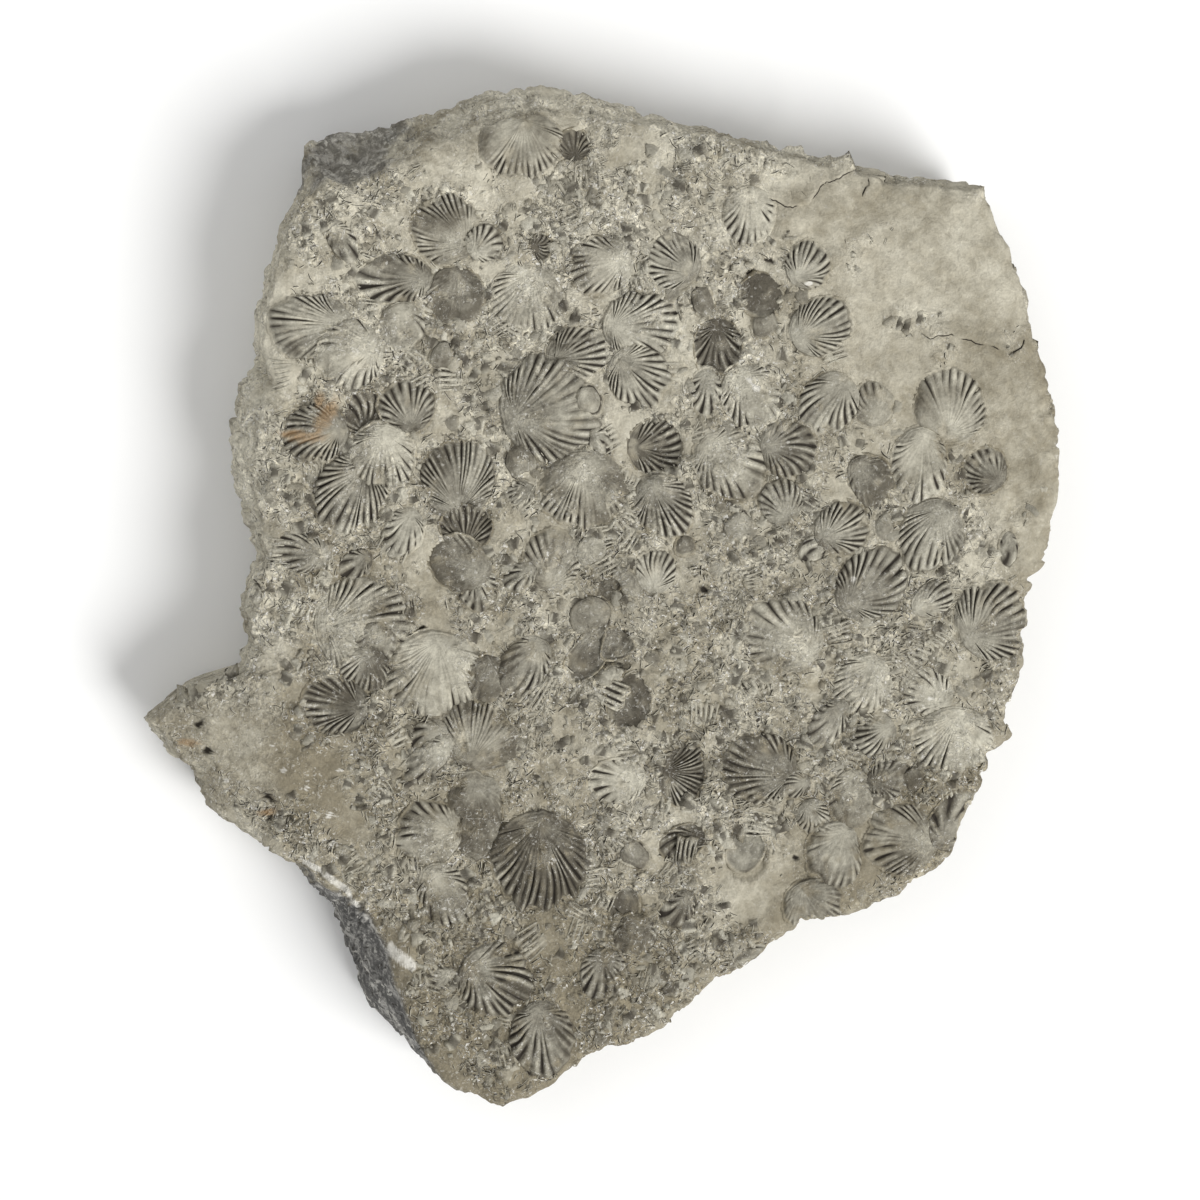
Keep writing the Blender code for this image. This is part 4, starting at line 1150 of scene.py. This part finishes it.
def patchSolids(x, y, z, values):
    # closed solids from equal grids of points, numbered by solid, row and column: faces over every
    # grid, and a fan of triangles from its border to one point below its middle
    grids = np.stack([x, y, z], -1)
    n, rows, columns = grids.shape[:3]
    per = rows * columns
    corners = grids.reshape(n, per, 3)
    under = corners.mean(1)
    under[:, 2] = corners[:, :, 2].min(1) - 0.3
    number = np.arange(per).reshape(rows, columns)
    ring = np.concatenate([number[0, :-1], number[:-1, -1], number[-1, :0:-1], number[:0:-1, 0]])
    start = (np.arange(n) * per)[:, None]
    quads = np.array(gridFaces(rows, columns, False))[None] + start[:, :, None]
    low = n * per + np.arange(n)[:, None] + 0 * ring
    cap = np.stack([ring + start, np.roll(ring, -1) + start, low], 2)
    faces = quads.reshape(-1, 4).tolist() + cap.reshape(-1, 3).tolist()
    points = np.concatenate([corners.reshape(-1, 3), under])
    values = {label: np.append((data + 0 * x).ravel(), np.zeros(n)) for label, data in values.items()}
    return points, faces, values


layerEdges = [
    [(30, 79), (33, 77.3), (36, 76.6), (39.5, 77.5), (42, 80.5), (45, 82.3), (49, 84)],
    [(51.5, 83), (51.2, 80.6), (49.5, 78)],
    [(60, 52.5), (63, 51.8), (67, 52), (72, 50.6), (77.5, 49)],
    [(82, 52), (80.8, 49.4), (78.5, 47.5)],
    [(11.5, 80.5), (11.8, 82.4), (13.5, 84.2), (16.5, 85)],
]
layers = {
    "step": 0.5,           # between points along an edge
    "wander": 0.45,
    # across an edge, from the bare bed to the layer's inside: place, height over the rock, darkness of the
    # painted shadow line under the lip
    "across": [(0.30, -0.5, 1), (0.22, 0.03, 1), (0.05, 0.05, 1), (0.0, 0.24, 0.4), (-0.12, 0.34, 0),
               (-0.7, 0.30, 0), (-1.7, 0.14, 0), (-2.8, -0.04, 0), (-3.4, -0.5, 0)],
}


def layerEdge(line, seed):
    # a thin broken layer as a profile carried along a wandering path: it rises from the rock, ends in a
    # sharp lip and drops to a painted shadow line
    line = np.array(line, float)
    along = np.concatenate([[0], np.cumsum(np.hypot(*np.diff(line, axis=0).T))])
    at = np.linspace(0, along[-1], max(6, round(along[-1] / layers["step"])))
    path = np.stack([np.interp(at, along, line[:, axis]) for axis in (0, 1)], 1)
    way = np.gradient(path, axis=0)
    way /= np.hypot(*way.T)[:, None]
    right = np.stack([way[:, 1], -way[:, 0]], 1)
    path = path + right * (layers["wander"] * roughNoise(at / 1.6, 0.5, seed, 3))[:, None]
    place, rise, paintedShadeAndDirt = np.array(layers["across"]).T
    ends = sCurve(np.minimum(at, at[-1] - at) / 1.5)[:, None]
    x = path[:, 0, None] + right[:, 0, None] * place
    y = path[:, 1, None] + right[:, 1, None] * place
    z = bedHeight(x, y) + crumble(x, y) + rise * (ends * 1.1 - 0.1) - 0.12 * (1 - ends)
    gaping = sCurve(0.75 + softNoise(at / 2.1, 0.3, seed + 4))[:, None]
    # the painted shadow line under the lip, broken in places
    return patchSolids(x[None], y[None], z[None], {"groove": paintedShadeAndDirt * ends * gaping})


edgeShapes = [layerEdge(line, seeds["layerEdges"] + n) for n, line in enumerate(layerEdges)]
makePiece("layer_edges", joined(edgeShapes))


combs = {
    "rows": [-0.05, 0.0, 0.12, 0.3, 0.5, 0.7, 0.88, 1.0, 1.05],   # the first and last are the border
    "places": [0.0, 0.22, 0.36, 0.5, 0.64, 0.78],    # columns in each rib: the furrow is at 0.5
    "border": 0.15,        # how far past the outer ribs the border lies, in ribs
    "furrow": 0.42,
    "crest": 0.3,          # height of the ribs, as a share of the furrows' depth
    "lift": 0.16,
    "sunk": 0.6,           # depth of the border in the rock
    # the random ones: how many, out of how many tries over which half-sizes, how far from the rim,
    # and on how plain a rock at most
    "random": 60,
    "tries": 3000,
    "spread": (85, 95),
    "clear": 5,
    "plainest": 0.3,
    "seed": 61,
    "lengths": (2.6, 6.0),
    "furrows": (3, 6),
    "pitches": (0.85, 1.25),
}
# Pieces of ribbed shell that show only as a few parallel furrows: x and y of the near end's middle,
# heading in degrees, length, width, furrows, tone
combList = [
    (-58.5, 10.8, 180, 7, 5, 5, 0.1), (-39, 16.5, 247, 7.5, 5.5, 5, 0.1), (-17.5, 18.7, 48, 4.5, 4.5, 4, 0),
    (-3, 30.2, 28, 6, 4.5, 4, 0), (8.5, 45.6, 352, 6, 4, 3, 0), (18.8, 43.2, 265, 5, 3, 3, 0.1),
    (-46.5, -14.5, 50, 5.5, 6, 6, -0.1), (-10.5, -13.2, 235, 8, 7, 7, -0.1),
    (-39, -31.8, 38, 7.5, 4.5, 4, 0.2), (-26.2, -56.6, 238, 6.5, 3.6, 3, -0.1),
    (15.4, -50.8, 85, 5, 3.6, 4, -0.3),
    (29.5, -71.2, 195, 7, 4.2, 4, -0.4), (-12.2, -63.8, 214, 6, 5.5, 5, 0), (36.3, 21.5, 320, 6, 4.5, 5, 0),
    (46.5, 49.5, 200, 5, 4, 4, 0), (58.8, -13, 320, 6, 5, 5, 0.2), (-60, 45.5, 190, 6.5, 6, 6, 0),
]


def comb(x, y, heading, length, width, furrows, tone, seed):
    # a patch of parallel ribs that spread a little: columns counted in ribs as in a shell, rows along
    # the heading, the border let down into the rock
    column = np.append((np.arange(furrows)[:, None] + np.array(combs["places"])).ravel(), furrows)
    column = np.concatenate([[-combs["border"]], column, [furrows + combs["border"]]])
    v = np.array(combs["rows"])[:, None]
    inside = np.clip(column, 0, furrows)
    sway = 0.30 * softNoise(inside * 0.6, v * 1.4, seed) + 0.25 * np.sin(v * 2 + seed)
    across = (column / furrows - 0.5) * width * (0.80 + 0.30 * v) + sway
    ragged = 0.16 * softNoise(inside * 0.9, 0.5, seed + 1)
    along = length * (v + ragged * (2 * v - 1))
    turn = math.radians(heading)
    px = x + along * math.cos(turn) - across * math.sin(turn)
    py = y + along * math.sin(turn) + across * math.cos(turn)
    line = np.floor(inside)
    start = 0.14 + 0.22 * softNoise(line * 2.9, 0.2, seed + 2)
    end = 0.92 + 0.12 * softNoise(line * 2.3, 0.7, seed + 3)
    ramp = sCurve((v - start) / 0.14) * sCurve((end - v) / 0.10) * (inside < furrows)
    off = inside - line - 0.5
    groove = np.exp(-(off / 0.17) ** 2) * ramp * (0.9 + 0.2 * softNoise(line * 1.7, 0.0, seed + 4))
    crest = np.exp(-((0.5 - np.abs(off)) / 0.20) ** 2) * sCurve(v / 0.3) * sCurve((1 - v) / 0.1)
    border = (column < 0) | (column > furrows) | (v < 0) | (v > 1)
    surface = combs["lift"] * (1 - (2 * v - 1) ** 4) + combs["furrow"] * (combs["crest"] * crest - groove)
    px, py, past = keepInside(px, py)
    pz = bedHeight(px, py) + 0.6 * crumble(px, py) + np.where(border | past, -combs["sunk"], surface)
    shown = 0.55 * sCurve((0.5 - np.abs(v - 0.5)) / 0.15)
    # paler along the crests, a painted highlight, and darker in the furrows, dirt and painted shade
    values = {"tone": tone + 0.7 * crest - 0.2, "groove": groove, "shell": shown}
    return patchSolids(px[None], py[None], pz[None], values)


def inRubble(x, y, margin):
    # where broken shell may lie: inside the rim by a margin, clear of the whole shells
    free = rimDistance(x, y) > margin
    for shell in shellList:
        free &= shellPolar(shell, x, y)[1] > 1.02
    return free


def randomPlaces(pick, what):
    # as many random places as the dictionary of a piece asks for
    reachX, reachY = what["spread"]
    return pick.uniform(-reachX, reachX, what["tries"]), pick.uniform(-reachY, reachY, what["tries"])


def makeCombs():
    # the combs of the list, and more at random places in the rubble
    pick = np.random.default_rng(combs["seed"])
    found = list(combList)
    x, y = randomPlaces(pick, combs)
    free = inRubble(x, y, combs["clear"]) & (plainShare(x, y) < combs["plainest"])
    for px, py in np.stack([x, y], 1)[free][:combs["random"]]:
        length = pick.uniform(*combs["lengths"])
        furrows = int(pick.integers(*combs["furrows"]))
        heading = pick.uniform(0, 360)
        width = furrows * pick.uniform(*combs["pitches"])
        found.append((px, py, heading, length, width, furrows, pick.normal(0.05, 0.3)))
    return joined([comb(*entry, seeds["combs"] + 5 * number) for number, entry in enumerate(found)])


makePiece("shell_combs", makeCombs())


splinters = {
    "count": 4300,
    "tries": 34400,
    "seed": 41,
    "spread": (88, 98),
    "clear": 1.2,              # of the rim
    "steps": 5,                # points along each
    "lengths": (0.7, 3.6),
    "shortness": 2.2,          # power of the random share: more makes short ones more common
    "bends": (0.15, 1.0),
    "rises": (0.14, 0.40),
    # across a splinter, from its inner side: place, share of the rise, sinking, darkness (painted shade on
    # the outer side), tone (painted highlight on top)
    "across": [(-0.34, 0, -0.5, 0, 0.2), (-0.03, 1, 0, 0, 1.0),
               (0.17, 0.1, 0.02, 0.7, 0), (0.36, 0, -0.5, 0, 0)],
}


def perPiece(*lists):
    # lists of one number per piece, made to run against the rows and columns of every grid
    return [numbers[:, None, None] for numbers in lists]


def makeSplinters():
    # thin curved edges of broken shell among the rubble: each is a ridge carried along an arc of constant
    # curvature, x = (sin(h + s k) - sin h) / k, with painted shade on its outer side and a painted
    # highlight on top
    pick = np.random.default_rng(splinters["seed"])
    x, y = randomPlaces(pick, splinters)
    crowd = 0.25 + 0.9 * sCurve(0.5 + 0.9 * roughNoise(x / 6, y / 6, seeds["crowding"], 2))
    crowd = crowd * (1.0 - 1.2 * plainShare(x, y))
    free = inRubble(x, y, splinters["clear"]) & (pick.uniform(0, 1, len(x)) < crowd)
    x, y = x[free][:splinters["count"]], y[free][:splinters["count"]]
    n = len(x)
    print("splinters:", n)
    low, high = splinters["lengths"]
    length = low + (high - low) * pick.uniform(0, 1, n) ** splinters["shortness"]
    heading = 6 * softNoise(x / 8, y / 8, seeds["swirl"]) + pick.normal(0, 0.7, n)
    bend = pick.uniform(*splinters["bends"], n) * pick.choice([-1, 1], n) * np.minimum(1, 1.6 / length)
    rise = pick.uniform(*splinters["rises"], n)
    tone = pick.normal(0, 0.25, n)
    x, y, length, heading, bend, rise, tone = perPiece(x, y, length, heading, bend, rise, tone)
    u = np.linspace(-1, 1, splinters["steps"])[None, :, None]
    place, share, sink, paintedShadeAndDirt, pale = np.array(splinters["across"]).T
    turn = heading + u * length / 2 * bend
    px = x + (np.sin(turn) - np.sin(heading)) / bend + place * np.sin(turn)
    py = y - (np.cos(turn) - np.cos(heading)) / bend - place * np.cos(turn)
    ends = 1 - u ** 4
    pz = bedHeight(px, py) + crumble(px, py) + share * rise * ends + sink - 0.25 * (1 - ends)
    # painted highlight on the top of each splinter and painted shade on its outer side
    values = {"tone": tone + pale * ends, "groove": paintedShadeAndDirt * ends * (1 + tone),
              "shell": 0.5 * ends * (share > 0.5)}
    return patchSolids(px, py, pz, values)


makePiece("shell_splinters", makeSplinters())


fragments = {
    "count": 2400,
    "tries": 14400,
    "seed": 23,
    "spread": (88, 98),
    "clear": 2.2,          # of the rim
    "across": 6,           # points along the arc
    "deep": 4,             # points from the inner to the outer edge
    "sizes": (1.5, 6.2),
    "smallness": 2.4,      # power of the random share: more makes small ones more common
    "curves": (0.7, 2.2),  # radius of the fan that a piece comes from, as a share of its size
    "widestArc": 2.4,
    "depths": (0.25, 0.9),
    "thickness": (0.10, 0.40),
    "tilt": 0.13,
    "ribbedShare": 0.6,
    "ribPitch": 1.2,
    "mostRibs": 4,         # as many as the points along the arc can show
    "tones": (-0.20, 0.45),
    "toneLimits": (-0.65, 0.8),
    "covers": (0.4, 0.95),
    "jitter": 0.12,
    "sunk": 0.55,          # depth of the border in the rock
}


def makeFragments():
    # broken shell pieces scattered between the shells: each is a patch of a small ribbed fan, an
    # arc by a depth, laid on the crumbled bed, its border let down into it and closed underneath
    pick = np.random.default_rng(fragments["seed"])
    x, y = randomPlaces(pick, fragments)
    crowd = 1.05 * plainShare(x, y)
    free = inRubble(x, y, fragments["clear"]) & (pick.uniform(0, 1, len(x)) > crowd)
    x, y = x[free][:fragments["count"]], y[free][:fragments["count"]]
    n = len(x)
    print("fragments:", n)
    low, high = fragments["sizes"]
    size = low + (high - low) * pick.uniform(0, 1, n) ** fragments["smallness"]
    radius = size * pick.uniform(*fragments["curves"], n)
    arc = np.minimum(size / radius, fragments["widestArc"])
    depth = np.minimum(size * pick.uniform(*fragments["depths"], n), radius * 0.9)
    heading = pick.uniform(0, 2 * math.pi, n)
    thick = pick.uniform(*fragments["thickness"], n) * (0.6 + 0.12 * size)
    tiltX, tiltY = pick.normal(0, fragments["tilt"], n), pick.normal(0, fragments["tilt"], n)
    ribCount = np.minimum(np.round(size / fragments["ribPitch"]), fragments["mostRibs"])
    ribCount = np.where(pick.uniform(0, 1, n) < fragments["ribbedShare"], ribCount, 0)
    tone = np.clip(pick.normal(*fragments["tones"], n), *fragments["toneLimits"])
    cover = pick.uniform(*fragments["covers"], n)
    x, y, radius, arc, depth, heading = perPiece(x, y, radius, arc, depth, heading)
    thick, tiltX, tiltY, ribCount, tone, cover = perPiece(thick, tiltX, tiltY, ribCount, tone, cover)
    u = np.linspace(-1, 1, fragments["across"])
    v = np.linspace(0, 1, fragments["deep"])[:, None]
    angle = heading + u * arc / 2 * (0.75 + 0.25 * v)
    reach = radius - depth * (1 - v)
    px = x + reach * np.cos(angle) - (radius - depth / 2) * np.cos(heading)
    py = y + reach * np.sin(angle) - (radius - depth / 2) * np.sin(heading)
    jitterX, jitterY = pick.normal(0, fragments["jitter"], (2,) + px.shape)
    px, py = px + jitterX, py + jitterY
    ribs = np.cos(u * math.pi * ribCount) * (ribCount > 0)
    base = bedHeight(px, py) + crumble(px, py)
    middle = bedHeight(x, y) + crumble(x, y)
    lift = thick * (1 - 0.35 * u * u) + 0.07 * ribs * thick / 0.3
    lift = lift + tiltX * (px - x) + tiltY * (py - y)
    level = 0.55 * base + 0.45 * middle + lift
    border = (np.abs(u) > 0.99) | (v < 0.01) | (v > 0.99)
    pz = np.where(border, np.minimum(base, level) - fragments["sunk"], np.maximum(level, base + 0.05))
    # paler on the rib tops, a painted highlight, and darker between them, dirt and painted shade
    values = {"tone": tone + 0.25 * ribs, "groove": np.clip(-ribs, 0, 1) * 0.5 * (ribCount > 1),
              "shell": cover * (1 - border)}
    return patchSolids(px, py, pz, values)


makePiece("shell_fragments", makeFragments())


studio = {
    "aim": (0, 0, 14),
    "distance": 700.0,
    "towards": (-72.0, 72.0, 700.0),   # from the slab's middle to the camera
    "lens": 107.0,
    "lightAim": (0, 0, 10),
    "lightFrom": (520.0, -430.0, 620.0),
    "lightAngle": 32.0,
    "lightPower": 3.0,
    "fillFrom": (-350.0, 300.0, 700.0),
    "fillSize": 500,
    "fillPower": 0.8,
    "sky": 0.50,
    "floorReach": 3000,
    "floorDrop": 0.15,                 # keeps the floor clear of the slab's flat underside
    "floorColour": (0.90, 0.90, 0.89, 1),
    "floorRoughness": 0.9,
    "nearest": 10,                     # where the camera's view begins
}


def aimed(place, target, up):
    # a matrix at a place, looking at a target with its top towards up
    back = (Vector(place) - Vector(target)).normalized()
    right = Vector(up).cross(back).normalized()
    matrix = Matrix((right, back.cross(right), back)).transposed().to_4x4()
    matrix.translation = Vector(place) * mm
    return matrix


def addLight(name, kind, place, power):
    # a lamp that shines on the slab from a place
    lamp = bpy.data.lights.new(name, kind)
    lamp.energy = power
    light = bpy.data.objects.new(name, lamp)
    bpy.context.scene.collection.objects.link(light)
    light.matrix_world = aimed(place, studio["lightAim"], (0, 1, 0.01))
    return lamp


def makeFloor():
    mesh = bpy.data.meshes.new("floor")
    reach, level = studio["floorReach"] * mm, -studio["floorDrop"] * mm
    corners = [(-reach, -reach, level), (reach, -reach, level),
               (reach, reach, level), (-reach, reach, level)]
    mesh.from_pydata(corners, [], [(0, 1, 2, 3)])
    floor = bpy.data.objects.new("floor", mesh)
    bpy.context.scene.collection.objects.link(floor)
    paper = bpy.data.materials.new("paper")
    paper.use_nodes = True
    paperInputs = paper.node_tree.nodes["Principled BSDF"].inputs
    paperInputs["Base Color"].default_value = studio["floorColour"]
    paperInputs["Roughness"].default_value = studio["floorRoughness"]
    mesh.materials.append(paper)


def makeStudio():
    # pale floor, one wide soft sun from the lower right, a weak fill from the other side, an even
    # white sky, and the camera above the upper left of the slab
    scene = bpy.context.scene
    makeFloor()
    key = addLight("key", "SUN", studio["lightFrom"], studio["lightPower"])
    key.angle = math.radians(studio["lightAngle"])
    fill = addLight("fill", "AREA", studio["fillFrom"], studio["fillPower"])
    fill.shape = "DISK"
    fill.size = studio["fillSize"] * mm
    world = bpy.data.worlds.new("sky")
    world.use_nodes = True
    sky = world.node_tree.nodes["Background"].inputs
    sky["Color"].default_value = (1, 1, 1, 1)
    sky["Strength"].default_value = studio["sky"]
    scene.world = world
    scene.view_settings.view_transform = "Standard"
    camera = bpy.data.objects.new("camera", bpy.data.cameras.new("camera"))
    camera.data.lens = studio["lens"]
    camera.data.clip_start = studio["nearest"] * mm
    middle = Vector(studio["aim"])
    place = middle + Vector(studio["towards"]).normalized() * studio["distance"]
    camera.matrix_world = aimed(place, middle, (0, 1, 0))
    scene.collection.objects.link(camera)
    scene.camera = camera


makeStudio()
print("studio made")
